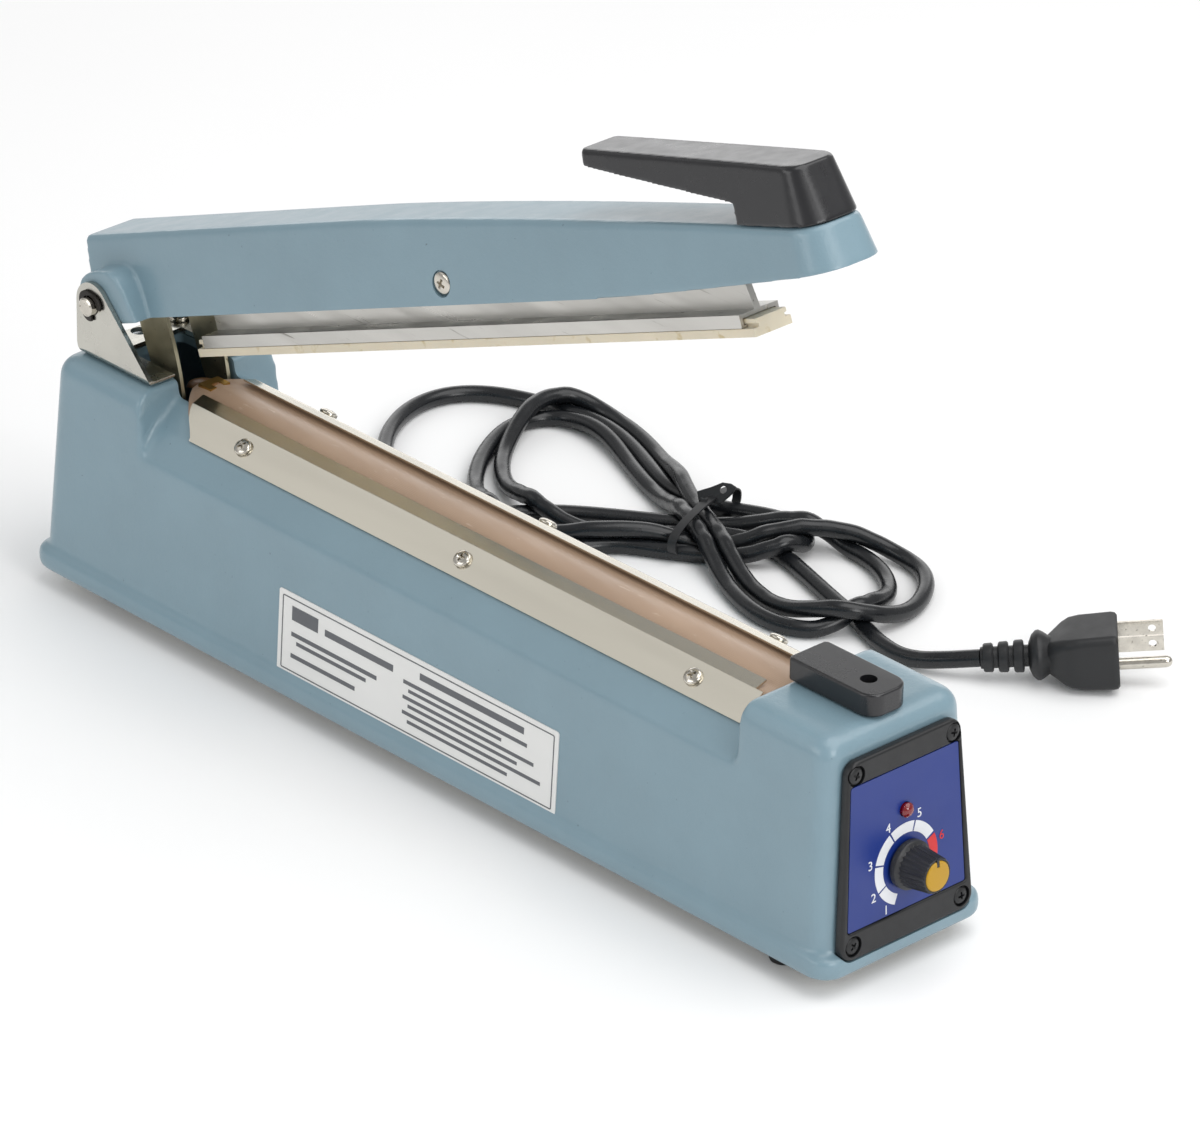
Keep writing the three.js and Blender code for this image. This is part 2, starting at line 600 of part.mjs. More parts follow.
function addHinge(machine) {
  const low = HOUSING_TOP + GAP;
  const outside = EAR_INSIDE + EAR_THICK;
  const web = cut(box([14.4, 57.5], [-outside, outside], [low, low + 2]), [
    box([27, 70], [-14.8, 14.8], [low - 5, low + 5]),
    rod('z', 3.5, [90, 120], 16).translate(18.5, 0, 0),
  ]);
  const ears = [[-outside, -EAR_INSIDE], [EAR_INSIDE, outside]].map((y) => prism('y', earOutline(low), y));
  const bores = [
    rod('y', PIN_RADIUS + GAP, [-50, 50], 20).translate(HINGE.x, 0, HINGE.z),
    ...[-1, 1].map((side) => rod('z', 2.3, [90, 120], 10).translate(20.5, side * 19, 0)),
  ];
  piece(machine, 'hinge_bracket', cut(join([web, ...ears]), bores), 'zinc');

  for (const [name, side] of [['near', -1], ['far', 1]]) {
    const bolt = panScrew(4.2, 2.8, 1.9, 9).translate(20.5, side * 19, low + 2 + GAP);
    piece(machine, `bracket_bolt_${name}`, bolt, 'zinc');
    const from = Math.min(side * (outside + GAP), side * (outside + GAP + 1));
    const ring = [[4.3, from], [6.6, from], [6.6, from + 1], [4.3, from + 1], [4.3, from]];
    const clip = turned(ring, 'y', 20).translate(HINGE.x, 0, HINGE.z);
    piece(machine, `retaining_ring_${name}`, clip, 'blackPlastic');
  }
  const pinProfile = [
    [0, -31.4], [3.4, -31.4], [PIN_RADIUS, -30.8], [PIN_RADIUS, 30.8], [3.4, 31.4], [0, 31.4],
  ];
  const pin = turned(pinProfile, 'y', 20);
  piece(machine, 'hinge_pin', pin.translate(HINGE.x, 0, HINGE.z), 'zinc');
}

// ---- pressing arm, drawn shut and turned open about the hinge --------------------------------

const armHalf = (z) => ARM_HALF_AT_TOP + (ARM_TOP - z) * ARM_DRAFT;
const noseX = (z) => NOSE_X_LOW - (z - NOSE_LOW_Z) * NOSE_RAKE;
const noseRadius = (z) => 7 + (159 - z) * 0.2;
const armTop = (x) => ARM_TOP - 12.6 * Math.max((x - 170) / (NOSE_X_LOW - 170), 0) ** 1.55;
const armBottom = (x) => ARM_BOTTOM + 5 * Math.max((x - 320) / (NOSE_X_LOW - 320), 0) ** 1.3;
const NOSE_ANGLES = [0, 25, 50, 70, 90];

// A station is an x, with an optional pinch of the half width, or an angle round the nose.
function beamPoint(station, z, inset) {
  if (station.nose === undefined) {
    return { x: station.x, half: armHalf(z) - inset - (station.pinch ?? 0) };
  }
  const radius = noseRadius(z);
  const angle = THREE.MathUtils.degToRad(station.nose);
  return {
    x: noseX(z) - inset - radius + radius * Math.sin(angle),
    half: armHalf(z) - inset - radius * (1 - Math.cos(angle)),
  };
}

function beam(stations, bottomAt, topAt, inset, corner) {
  return loft(stations.map((station) => {
    const { x: nominal } = beamPoint(station, 140, inset);
    const bottom = station.bottom ?? bottomAt(nominal);
    const top = topAt(nominal);
    const profile = [[0, bottom], [0, top - corner], [corner * 0.3, top - corner * 0.3], [corner, top]];
    const far = profile.map(([fold, z]) => {
      const { x, half } = beamPoint(station, z, inset);
      return new THREE.Vector3(x, half - fold, z);
    });
    const near = far.map((p) => new THREE.Vector3(p.x, -p.y, p.z)).reverse();
    return [...far, ...near];
  }));
}

function armCasting() {
  const along = [ARM_REAR_X, 60, 120, 170, 210, 250, 290, 320, 350, 380, 408].map((x) => ({ x }));
  const nose = NOSE_ANGLES.map((angle) => ({ nose: angle }));
  const shell = beam([...along, ...nose], armBottom, armTop, 0, 2.4);
  const lugOutline = [
    [14, ARM_BOTTOM], [45, ARM_BOTTOM], [42.5, 126], [39.8, 132.5], [36, 136.4], [31, 137.6], [22, 137.2],
    [16, 134], [13.4, 127],
  ];
  const lugs = prism('y', lugOutline, [-EAR_INSIDE + GAP, EAR_INSIDE - GAP]);
  const hollowAlong = [ARM_REAR_X + 3.2, 60, 170, 250, 320, 380, 408].map((x) => ({ x }));
  const hollow = beam([...hollowAlong, ...nose], () => 100, (x) => armTop(x) - 3.2, 3.2, 2);
  const [screwX, screwZ] = PIVOT;
  const flankY = armHalf(screwZ);
  return cut(join([shell, lugs]), [
    hollow,
    rod('y', PIN_RADIUS + GAP, [-50, 50], 20).translate(HINGE.x, 0, HINGE.z),
    rod('y', 2.8, [-50, 50], 12).translate(screwX, 0, screwZ),
    rod('y', 5.2, [-50, -flankY + 1.6], 20).translate(screwX, 0, screwZ),
  ]);
}

function armHandle() {
  const topAt = (x) => 170.6 - (x - 316) * 0.098;
  const underside = (x) => 163.9 - (x - 318) * 0.204;
  const seat = (x) => armTop(x) + GAP;
  const grip = [
    { x: 315.4, pinch: 1.6 },
    { x: 317, pinch: 0.2 },
    { x: 345 },
    { x: 372 },
    { x: SEAM_X - 0.8 },
  ].map((station) => ({ ...station, bottom: underside(station.x) }));
  const block = [{ x: SEAM_X, bottom: seat(SEAM_X) }, { x: 408, bottom: seat(408) }];
  const nose = NOSE_ANGLES.map((angle) => ({ nose: angle }));
  return beam([...grip, ...block, ...nose], seat, topAt, 0, 1.6);
}

function addArm(machine) {
  const pivot = new THREE.Group();
  pivot.position.copy(HINGE);
  pivot.rotation.y = -OPEN_ANGLE;
  machine.add(pivot);
  const shut = new THREE.Group(); // working frame with the jaws shut
  shut.position.copy(HINGE).negate();
  pivot.add(shut);

  piece(shut, 'arm_casting', armCasting(), 'paint');
  piece(shut, 'arm_handle', armHandle(), 'blackPlastic');

  const cheek = [
    [30, 131.6], [30, 112], [31, 86], [34, 72], ...arc(LINK_PIN.x, 71.5, 4.6, 200, 340, 4),
    [45, 86], [46, 112], [46, 131.6],
  ];
  const cheeks = [[-12.5, -10.9], [10.9, 12.5]].map((y) => prism('y', cheek, y));
  const bridge = box([30, 46], [-11.7, 11.7], [130, 131.6]);
  const crossPin = rod('y', 2, [-11.7, 11.7], 10).translate(...LINK_PIN.toArray());
  piece(shut, 'linkage_bracket', join([...cheeks, bridge, crossPin]), 'yellowZinc');

  const [screwX, screwZ] = PIVOT;
  const seat = armHalf(screwZ) - 1.6 + GAP;
  const pivotScrew = turned([[0, -seat - 1.9], [3.6, -seat - 1.9], [4.5, -seat - 1.2], [4.5, -seat],
    [2.5, -seat], [2.5, seat + 2], [0, seat + 2]], 'y', 20);
  piece(shut, 'press_bar_screw', pivotScrew.translate(screwX, 0, screwZ), 'zinc');

  const [low, high] = BAR_CHANNEL_Z;
  const halfBar = [[BAR_HALF, low], [BAR_HALF, high], [WEB_HALF, high], [WEB_HALF, 129]];
  const mirror = (points) => points.map(([y, z]) => [-y, z]).reverse();
  const section = [[8, low], ...halfBar, ...mirror(halfBar), [-8, low], [-8, low + 3.3], [8, low + 3.3]];
  const bar = cut(prism('x', section, BAR_X), [
    rod('y', 2.9, [-20, 20], 14).translate(screwX, 0, screwZ),
  ]);
  piece(shut, 'press_bar', bar, 'aluminium');

  const strip = [[9.2, STRIP_BOTTOM], [9.2, low - GAP], [7.7, low - GAP], [7.7, low + 3]];
  piece(shut, 'silicone_strip', prism('x', [...strip, ...mirror(strip)], STRIP_X), 'silicone');
}

// ---- rating label on the near wall ---------------------------------------------------------

function addLabel(machine) {
  const centreZ = 34.7;
  const lean = Math.atan((WALL_HALF_LOW - WALL_HALF_CREASE) / (CREASE_Z - WALL_START_Z));
  const onWall = new THREE.Group();
  onWall.position.set(224.6, -wallHalf(centreZ), centreZ);
  onWall.rotation.x = -lean;
  machine.add(onWall);
  piece(onWall, 'rating_label', box([-78.7, 78.7], [-GAP - 0.25, -GAP], [-17.6, 17.6]), 'label');
}

// ---- mains cord ---------------------------------------------------------------------------

// From the strain relief, down to the tabletop and round to the tied bundle.
const FEED_ROUTE = [
  [60, 67.7, 28], [60, 76, 26.4], [58, 88, 20], [53, 99, 11.5], [46, 108, 5.6], [37, 117, 3.7],
  [24, 126, 3.6], [11, 137, 3.6], [0, 151, 3.6], [-8, 168, 3.6], [-11, 185, 3.6],
  [-5, 198, 3.6], [6, 206, 3.6], [16.5, 211.5, 3.6],
];
// From the bundle to the plug.
const LEAD_ROUTE = [
  [268, 167.5, 3.6], [277, 166, 3.6], [288, 167.6, 4.6], [299, 173.2, 6.8], [310.3, 181.6, 9.1],
];
const BUNDLE_OUTLINE = [
  [21.5, 213], [30, 229], [52, 235], [80, 229], [112, 212], [136, 200], [148, 206], [160, 224], [178, 226],
  [192, 221], [212, 232], [234, 234], [252, 220], [263, 198], [266.6, 172], [258, 156], [238, 144],
  [214, 145], [188, 156], [166, 170], [150, 158], [134, 132], [128, 104], [116, 84], [96, 78], [80, 90],
  [74, 112], [60, 136],
  [44, 152], [30, 176], [22, 200],
];
const LEFT_EYE = [
  [44, 210], [62, 212], [96, 200], [124, 186], [120, 166], [106, 150], [84, 152], [58, 172], [44, 190],
];
const RIGHT_EYE = [
  [186, 200], [204, 210], [226, 218], [242, 206], [248, 186], [240, 168], [220, 166], [198, 176],
];
const PLUG_PLACE = new THREE.Vector3(311, 182.3, 9.2);
const PLUG_HEADING = THREE.MathUtils.degToRad(44.6);
const PLUG_TILT = THREE.MathUtils.degToRad(5.4);

function plugGeometry() {
  const relief = [[0, 0]];
  for (let i = 0; i < 3; i += 1) {
    const x = i * 6;
    relief.push([5.4 + i * 0.4, x], [5.8 + i * 0.4, x + 4], [4.4, x + 4], [4.4, x + 6]);
  }
  relief.push([6.4, 18], [10, 21], [10, 22.6], [7.6, 26], [7.6, 34], [0, 34]);
  const section = (half, low, high, corner) => [
    ...arc(half - corner, high - corner, corner, 0, 90, 2),
    ...arc(-half + corner, high - corner, corner, 90, 180, 2),
    ...arc(-half + corner, low + corner, corner, 180, 270, 2),
    ...arc(half - corner, low + corner, corner, 270, 360, 2),
  ];
  const ringAt = (x, outline) => outline.map(([y, z]) => new THREE.Vector3(x, y, z));
  const body = loft([
    ringAt(25, section(7, -6.4, 6.4, 4)),
    ringAt(34, section(12.6, -9.8, 11, 4)),
    ringAt(53, section(13, -11.6, 12, 4)),
  ]);
  const pinProfile = [[0, 50], [2.4, 50], [2.4, 72], [1.2, 74], [0, 74]];
  const groundPin = turned(pinProfile, 'x', 12).translate(0, 0, -5.7);
  const blades = [-6.35, 6.35].map((y) => cut(
    box([50, 70.8], [y - 0.75, y + 0.75], [3, 9.4]),
    [rod('y', 1.6, [y - 3, y + 3], 10).translate(66, 0, 6.2)],
  ));
  return join([turned(relief, 'x', 18), body, groundPin, ...blades]);
}

function addCord(cord) {
  const wallY = wallHalf(CORD_EXIT[1]);
  const relief = turned([
    [0, wallY - 6], [4.8, wallY - 6], [4.8, wallY + 0.7], [7.6, wallY + 0.7], [7.6, wallY + 2.8],
    [5.8, wallY + 3.6],
    [4.3, wallY + RELIEF_LENGTH], [0, wallY + RELIEF_LENGTH],
  ], 'y', 20);
  piece(cord, 'strain_relief', relief.translate(CORD_EXIT[0], 0, CORD_EXIT[1]), 'blackRubber');
  piece(cord, 'cord_feed', tube(FEED_ROUTE, CORD_RADIUS, 22), 'blackRubber');
  piece(cord, 'cord_lead', tube(LEAD_ROUTE, CORD_RADIUS, 6), 'blackRubber');

  const loops = prism('z', BUNDLE_OUTLINE, [0.2, 14], [LEFT_EYE, RIGHT_EYE]);
  const crossing = box([132, 172], [169, 203], [2.4, 24]);
  const underTie = box([147, 157], [150, 224], [-1, 2.4]);
  const besideTie = [box([148, 156], [100, 168.7], [-1, 40]), box([148, 156], [203.3, 260], [-1, 40])];
  const bundle = cut(join([loops, crossing]), [underTie, ...besideTie]);
  piece(cord, 'cord_bundle', bundle, 'blackRubber');

  const band = [[167, 0.2], [205, 0.2], [205, 26], [167, 26]];
  const bore = [[168.6, 2.1], [203.4, 2.1], [203.4, 24.3], [168.6, 24.3]];
  piece(cord, 'cord_tie', prism('x', band, [150, 154], [bore]), 'blackPlastic');

  const plug = piece(cord, 'plug', plugGeometry(), 'blackRubber');
  plug.position.copy(PLUG_PLACE);
  plug.rotation.set(0, -PLUG_TILT, PLUG_HEADING, 'ZYX');
}

// ---- assembly -----------------------------------------------------------------------------

const machine = new THREE.Group();
addBase(machine);
addBed(machine);
addControls(machine);
addInternals(machine);
addHinge(machine);
addArm(machine);
addLabel(machine);

const cord = new THREE.Group();
addCord(cord);

const sealer = new THREE.Group();
sealer.name = 'impulse_heat_sealer';
sealer.add(machine, cord);
sealer.updateMatrixWorld(true);
const middle = new THREE.Box3().setFromObject(machine, true).getCenter(new THREE.Vector3());
sealer.position.set(-middle.x, -middle.y, 0);

export default sealer;
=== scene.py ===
"""Looks of the tabletop impulse heat sealer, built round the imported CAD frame.

Pieces are modelled in millimetres in the CAD's working frame, whose X = 0 is the rear end of
the base flange. Pieces of the pressing arm are modelled with the jaws shut, apart from the
return spring. settle() turns them open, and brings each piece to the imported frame, in metres.
"""

import math

import bmesh
import bpy
import numpy as np
from mathutils import Matrix, Vector


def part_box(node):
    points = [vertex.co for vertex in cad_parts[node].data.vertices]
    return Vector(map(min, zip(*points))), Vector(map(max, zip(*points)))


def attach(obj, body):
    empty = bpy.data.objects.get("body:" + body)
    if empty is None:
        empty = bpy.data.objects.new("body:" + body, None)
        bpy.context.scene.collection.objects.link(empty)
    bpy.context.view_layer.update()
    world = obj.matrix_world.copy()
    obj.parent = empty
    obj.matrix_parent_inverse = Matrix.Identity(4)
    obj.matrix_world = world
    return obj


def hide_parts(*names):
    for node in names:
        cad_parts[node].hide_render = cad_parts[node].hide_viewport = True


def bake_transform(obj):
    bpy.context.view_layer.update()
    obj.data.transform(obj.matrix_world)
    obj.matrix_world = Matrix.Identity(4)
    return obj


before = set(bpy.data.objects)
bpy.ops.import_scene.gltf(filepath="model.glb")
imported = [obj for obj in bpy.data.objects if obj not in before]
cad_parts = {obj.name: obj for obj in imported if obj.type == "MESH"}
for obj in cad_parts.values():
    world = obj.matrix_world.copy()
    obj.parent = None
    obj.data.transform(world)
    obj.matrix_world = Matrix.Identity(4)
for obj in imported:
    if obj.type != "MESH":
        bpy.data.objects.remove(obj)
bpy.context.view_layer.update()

# ---- driving dimensions, in millimetres ------------------------------------------------------

MM = 0.001
SHIFT_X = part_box("body_casting")[0].x / MM
GAP = 0.3

FOOT_HEIGHT = 8
FOOT_TOP = 8.3
BASE_LENGTH = 450
FLANGE_HALF = 42.5
FLANGE_TOP = 17
WALL_HALF_LOW = 39.5
WALL_HALF_CREASE = 36.6
WALL_START_Z = 16
CREASE_Z = 75.4
HOUSING_TOP = 101
HOUSING_EDGE = 8
WALL_CORNER = 8
CASTING_WALL = 3.6
REAR_WALL_X = 3.3
FRONT_WALL_X = 445.5
END_DRAFT = 0.055
MIDDLE_REAR_X = 63.6
MIDDLE_REAR_TOP_X = 59
MIDDLE_FRONT_X = 394.7

PLATE_LOW = (27.8, 87.1)
PLATE_BEND = (15.4, 95.7)
PLATE_LIP = (10.4, 97.3)
PLATE_THICK = 0.8
PLATE_X = (69, 387.8)
PLATE_SCREWS_X = (106.2, 231.9, 357.2)
PLATE_LEAN = math.atan2(PLATE_BEND[1] - PLATE_LOW[1], PLATE_LOW[0] - PLATE_BEND[0])
RIDGE_Z = 94
BED_X = (68, 392)
BED_HALF = 8
CROWN_HALF = 8.8

HINGE = Vector((23, 0, 125))
OPEN_ANGLE = math.radians(21.3)
PIN_RADIUS = 4
EAR_INSIDE = 26
EAR_THICK = 2

ARM_REAR_X = 9.8
ARM_BOTTOM = 116.2
ARM_DRAFT = 0.15
ARM_HALF_AT_TOP = 13.3
ARM_TOP = 149.4
NOSE_X_LOW = 441
NOSE_LOW_Z = 120
NOSE_RAKE = 0.26
SEAM_X = 397
PIVOT = Vector((227.1, 0, 124.3))
PIVOT_RECESS = 1.6

BAR_X = (63.4, 381)
BAR_HALF = 9.8
BAR_LOW, BAR_HIGH = 100.8, 105.8
WEB_HALF = 1.5
STRIP_BOTTOM = 97.2
STRIP_X = (58, 387)

LINK_PIN = Vector((39, 0, 74))
SPRING_ANCHOR = Vector((120.5, 0, 62))

PANEL_ORIGIN = Vector((450, 0, 16))
PANEL_LEAN = 0.0617
BEZEL_THICK = 4.2
KNOB_V = 27.8
LAMP_V = 49.5

CORD_RADIUS = 3.5
CORD_EXIT = Vector((60, 67.7, 28))

TO_FRAME = Matrix.Scale(MM, 4) @ Matrix.Translation((SHIFT_X, 0, 0))
TURN_OPEN = Matrix.Translation(HINGE) @ Matrix.Rotation(-OPEN_ANGLE, 4, "Y") @ Matrix.Translation(-HINGE)


# ---- camera, fitted to the photograph ---------------------------------------------------------

def add_camera():
    azimuth, elevation, roll = (math.radians(angle) for angle in (46.205, 27.346, 1.06))
    looked_at = Vector((225, 0, 60))
    distance = 3047
    off_centre = (41.062, 17.066)
    right = Vector((math.cos(azimuth), math.sin(azimuth), 0))
    back = Vector((
        math.sin(azimuth) * math.cos(elevation),
        -math.cos(azimuth) * math.cos(elevation),
        math.sin(elevation),
    ))
    up = back.cross(right)
    right, up = (
        math.cos(roll) * right + math.sin(roll) * up,
        math.cos(roll) * up - math.sin(roll) * right,
    )
    place = looked_at + off_centre[0] * right + off_centre[1] * up + distance * back
    camera = bpy.data.objects.new("camera", bpy.data.cameras.new("camera"))
    camera.data.sensor_width = 36
    camera.data.lens = 240
    camera.data.clip_start = 0.1
    camera.data.clip_end = 60
    turn = Matrix((right, up, back)).transposed().to_4x4()
    camera.matrix_world = Matrix.Translation(TO_FRAME @ place) @ turn
    bpy.context.scene.collection.objects.link(camera)
    bpy.context.scene.camera = camera


add_camera()


# ---- outlines ---------------------------------------------------------------------------------

def arc(cx, cy, radius, start, end, steps):
    """Points along an arc in a plane, angles in degrees."""
    angles = [math.radians(start + (end - start) * i / steps) for i in range(steps + 1)]
    return [(cx + radius * math.cos(a), cy + radius * math.sin(a)) for a in angles]


def plan(x0, x1, half, radius, steps=10):
    """Rounded rectangle from x0 to x1, half wide on both sides of y = 0."""
    return [
        *arc(x1 - radius, half - radius, radius, 0, 90, steps),
        *arc(x0 + radius, half - radius, radius, 90, 180, steps),
        *arc(x0 + radius, -half + radius, radius, 180, 270, steps),
        *arc(x1 - radius, -half + radius, radius, 270, 360, steps),
    ]


def trapezoid(bottom, top, half_bottom, half_top, radius, steps=8):
    """Rounded trapezoid in y and z, as (y, z) points."""
    return [
        *arc(half_top - radius, top - radius, radius, 0, 90, steps),
        *arc(-half_top + radius, top - radius, radius, 90, 180, steps),
        *arc(-half_bottom + radius, bottom + radius, radius, 180, 270, steps),
        *arc(half_bottom - radius, bottom + radius, radius, 270, 360, steps),
    ]


def mirrored(points):
    """The same outline on the other side of y = 0, run backwards."""
    return [(-y, z) for y, z in reversed(points)]


def smooth_line(points, steps):
    """Catmull-Rom curve through points of any dimension, with the given steps per span."""
    p = np.array([tuple(q) for q in points], float)
    p = np.vstack([2 * p[0] - p[1], p, 2 * p[-1] - p[-2]])
    out = []
    for i in range(1, len(p) - 2):
        a, b, c, d = p[i - 1:i + 3]
        square = 2 * a - 5 * b + 4 * c - d
        cube = 3 * b - 3 * c + d - a
        for t in np.arange(steps) / steps:
            out.append(0.5 * (2 * b + (c - a) * t + square * t**2 + cube * t**3))
    out.append(p[-2])
    return np.array(out)


def smooth_closed(points):
    """Closed outline rounded through its points, keeping the first two corners sharp."""
    return [tuple(p) for p in smooth_line(points[1:] + points[:1], 4)]


# ---- mesh helpers -----------------------------------------------------------------------------

def make(name, corners, faces):
    """Mesh object with doubled corners merged and its faces turned outwards."""
    mesh = bpy.data.meshes.new(name)
    mesh.from_pydata([tuple(c) for c in corners], [], faces)
    built = bmesh.new()
    built.from_mesh(mesh)
    bmesh.ops.remove_doubles(built, verts=built.verts, dist=1e-5)
    bmesh.ops.recalc_face_normals(built, faces=built.faces)
    built.to_mesh(mesh)
    built.free()
    obj = bpy.data.objects.new(name, mesh)
    bpy.context.scene.collection.objects.link(obj)
    return obj


def loft(name, rings, closed_ends=True):
    """Skin through rings of equal point counts."""
    count = len(rings[0])
    corners = [tuple(p) for ring in rings for p in ring]
    faces = []
    for r in range(len(rings) - 1):
        low, high = r * count, (r + 1) * count
        for i in range(count):
            j = (i + 1) % count
            faces.append((low + i, low + j, high + j, high + i))
    if closed_ends:
        faces.append(tuple(reversed(range(count))))
        faces.append(tuple(range(len(corners) - count, len(corners))))
    return make(name, corners, faces)


def prism(name, axis, outline, span):
    """Extrusion along x (outline in y, z), y (outline in x, z) or z (outline in x, y)."""
    place = {
        "x": lambda a, b, along: (along, a, b),
        "y": lambda a, b, along: (a, along, b),
        "z": lambda a, b, along: (a, b, along),
    }[axis]
    return loft(name, [[place(a, b, along) for a, b in outline] for along in span])


def box(name, x, y, z):
    """Box between the two x, the two y and the two z given."""
    return prism(name, "x", [(y[0], z[0]), (y[1], z[0]), (y[1], z[1]), (y[0], z[1])], x)


def turned(name, profile, axis, segments):
    """Turned piece: a profile of (radius, height) that starts and ends on the axis."""
    corners = []
    for i in range(segments):
        angle = 2 * math.pi * i / segments
        for radius, height in profile:
            a, b = radius * math.cos(angle), radius * math.sin(angle)
            corners.append({"x": (height, a, b), "y": (b, height, a), "z": (a, b, height)}[axis])
    count = len(profile)
    faces = []
    for i in range(segments):
        here, following = i * count, (i + 1) % segments * count
        for k in range(count - 1):
            faces.append((here + k, following + k, following + k + 1, here + k + 1))
    return make(name, corners, faces)


def rod(name, axis, radius, span, segments=32, place=(0, 0, 0)):
    low, high = span
    profile = [(0, low), (radius, low), (radius, high), (0, high)]
    return shift(turned(name, profile, axis, segments), *place)


def apply_modifiers(obj):
    graph = bpy.context.evaluated_depsgraph_get()
    mesh = bpy.data.meshes.new_from_object(obj.evaluated_get(graph))
    obj.modifiers.clear()
    obj.data = mesh
    return obj


def combine(obj, tools, operation):
    """Applies a boolean with each tool in turn, and removes the tools."""
    for tool in tools:
        modifier = obj.modifiers.new(operation.lower(), "BOOLEAN")
        modifier.operation = operation
        modifier.solver = "MANIFOLD"
        modifier.object = tool
        apply_modifiers(obj)
        bpy.data.objects.remove(tool)
    return obj


def cut(obj, *tools):
    return combine(obj, tools, "DIFFERENCE")


def join(obj, *tools):
    return combine(obj, tools, "UNION")


def keep_common(obj, *tools):
    return combine(obj, tools, "INTERSECT")


def bevel(obj, width, segments, angle=30):
    """Rounds the sharp edges, after merging flat neighbours left by cuts."""
    built = bmesh.new()
    built.from_mesh(obj.data)
    bmesh.ops.remove_doubles(built, verts=built.verts, dist=1e-4)
    bmesh.ops.dissolve_limit(
        built, angle_limit=math.radians(0.6), verts=built.verts, edges=built.edges
    )
    built.to_mesh(obj.data)
    built.free()
    modifier = obj.modifiers.new("bevel", "BEVEL")
    modifier.width = width
    modifier.segments = segments
    modifier.limit_method = "ANGLE"
    modifier.angle_limit = math.radians(angle)
    modifier.use_clamp_overlap = True
    return apply_modifiers(obj)


def soften(obj, voxel, rounds):
    """Remeshes a casting evenly and eases all its edges and inside corners."""
    remesh = obj.modifiers.new("remesh", "REMESH")
    remesh.mode = "VOXEL"
    remesh.voxel_size = voxel
    smooth = obj.modifiers.new("smooth", "SMOOTH")
    smooth.factor = 0.5
    smooth.iterations = rounds
    return apply_modifiers(obj)


def shade(obj, angle):
    """Smooth shading, with edges kept sharp where they bend more than angle, in degrees."""
    mesh = obj.data
    mesh.polygons.foreach_set("use_smooth", [True] * len(mesh.polygons))
    mesh.set_sharp_from_angle(angle=math.radians(angle))
    normals = obj.modifiers.new("normals", "WEIGHTED_NORMAL")
    normals.keep_sharp = True
    apply_modifiers(obj)


def move(obj, matrix):
    obj.data.transform(matrix)
    return obj


def shift(obj, x, y, z):
    return move(obj, Matrix.Translation((x, y, z)))


def settle(obj, material, slot, body, stands_for=(), opened=False, smooth_angle=32):
    """Brings a piece from the working frame to its place, body, finish and CAD nodes."""
    move(obj, TO_FRAME @ TURN_OPEN if opened else TO_FRAME)
    obj.data.materials.clear()
    obj.data.materials.append(material)
    shade(obj, smooth_angle)
    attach(obj, body)
    if stands_for:
        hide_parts(*stands_for)
    return obj


# ---- materials --------------------------------------------------------------------------------

def linear(red, green, blue):
    """Colour given as it is seen (sRGB, 0 to 255)."""
    def channel(value):
        value /= 255
        return value / 12.92 if value <= 0.04045 else ((value + 0.055) / 1.055) ** 2.4
    return tuple(channel(value) for value in (red, green, blue))


def add_noise(tree, scale, stretch, detail=3):
    """Noise in the piece's own coordinates. scale is in features per metre."""
    place = tree.nodes.new("ShaderNodeTexCoord")
    mapping = tree.nodes.new("ShaderNodeMapping")
    mapping.inputs["Scale"].default_value = stretch
    noise = tree.nodes.new("ShaderNodeTexNoise")
    noise.inputs["Scale"].default_value = scale
    noise.inputs["Detail"].default_value = detail
    tree.links.new(place.outputs["Object"], mapping.inputs["Vector"])
    tree.links.new(mapping.outputs["Vector"], noise.inputs["Vector"])
    return noise.outputs["Fac"]


def add_range(tree, source, low, high, from_low=0.3, from_high=0.7):
    """Spreads a noise's usual values over low to high."""
    spread = tree.nodes.new("ShaderNodeMapRange")
    spread.inputs["From Min"].default_value = from_low
    spread.inputs["From Max"].default_value = from_high
    spread.inputs["To Min"].default_value = low
    spread.inputs["To Max"].default_value = high
    tree.links.new(source, spread.inputs["Value"])
    return spread.outputs["Result"]


def add_mix(tree, factor, first, second):
    """Mixes two colours, each a constant or a socket."""
    mix = tree.nodes.new("ShaderNodeMix")
    mix.data_type = "RGBA"
    tree.links.new(factor, mix.inputs["Factor"])
    for socket, value in (("A", first), ("B", second)):
        target = [i for i in mix.inputs if i.name == socket and i.type == "RGBA"][0]
        if isinstance(value, tuple):
            target.default_value = (*value, 1)
        else:
            tree.links.new(value, target)
    return [o for o in mix.outputs if o.type == "RGBA"][0]


def add_bumps(tree, shader, grain, stretch):
    """grain is a list of (features per metre, height in millimetres)."""
    normal = None
    for scale, height in grain:
        bump = tree.nodes.new("ShaderNodeBump")
        bump.inputs["Distance"].default_value = height * MM
        tree.links.new(add_noise(tree, scale, stretch), bump.inputs["Height"])
        if normal:
            tree.links.new(normal, bump.inputs["Normal"])
        normal = bump.outputs["Normal"]
    if normal:
        tree.links.new(normal, shader.inputs["Normal"])
        tree.links.new(normal, shader.inputs["Coat Normal"])


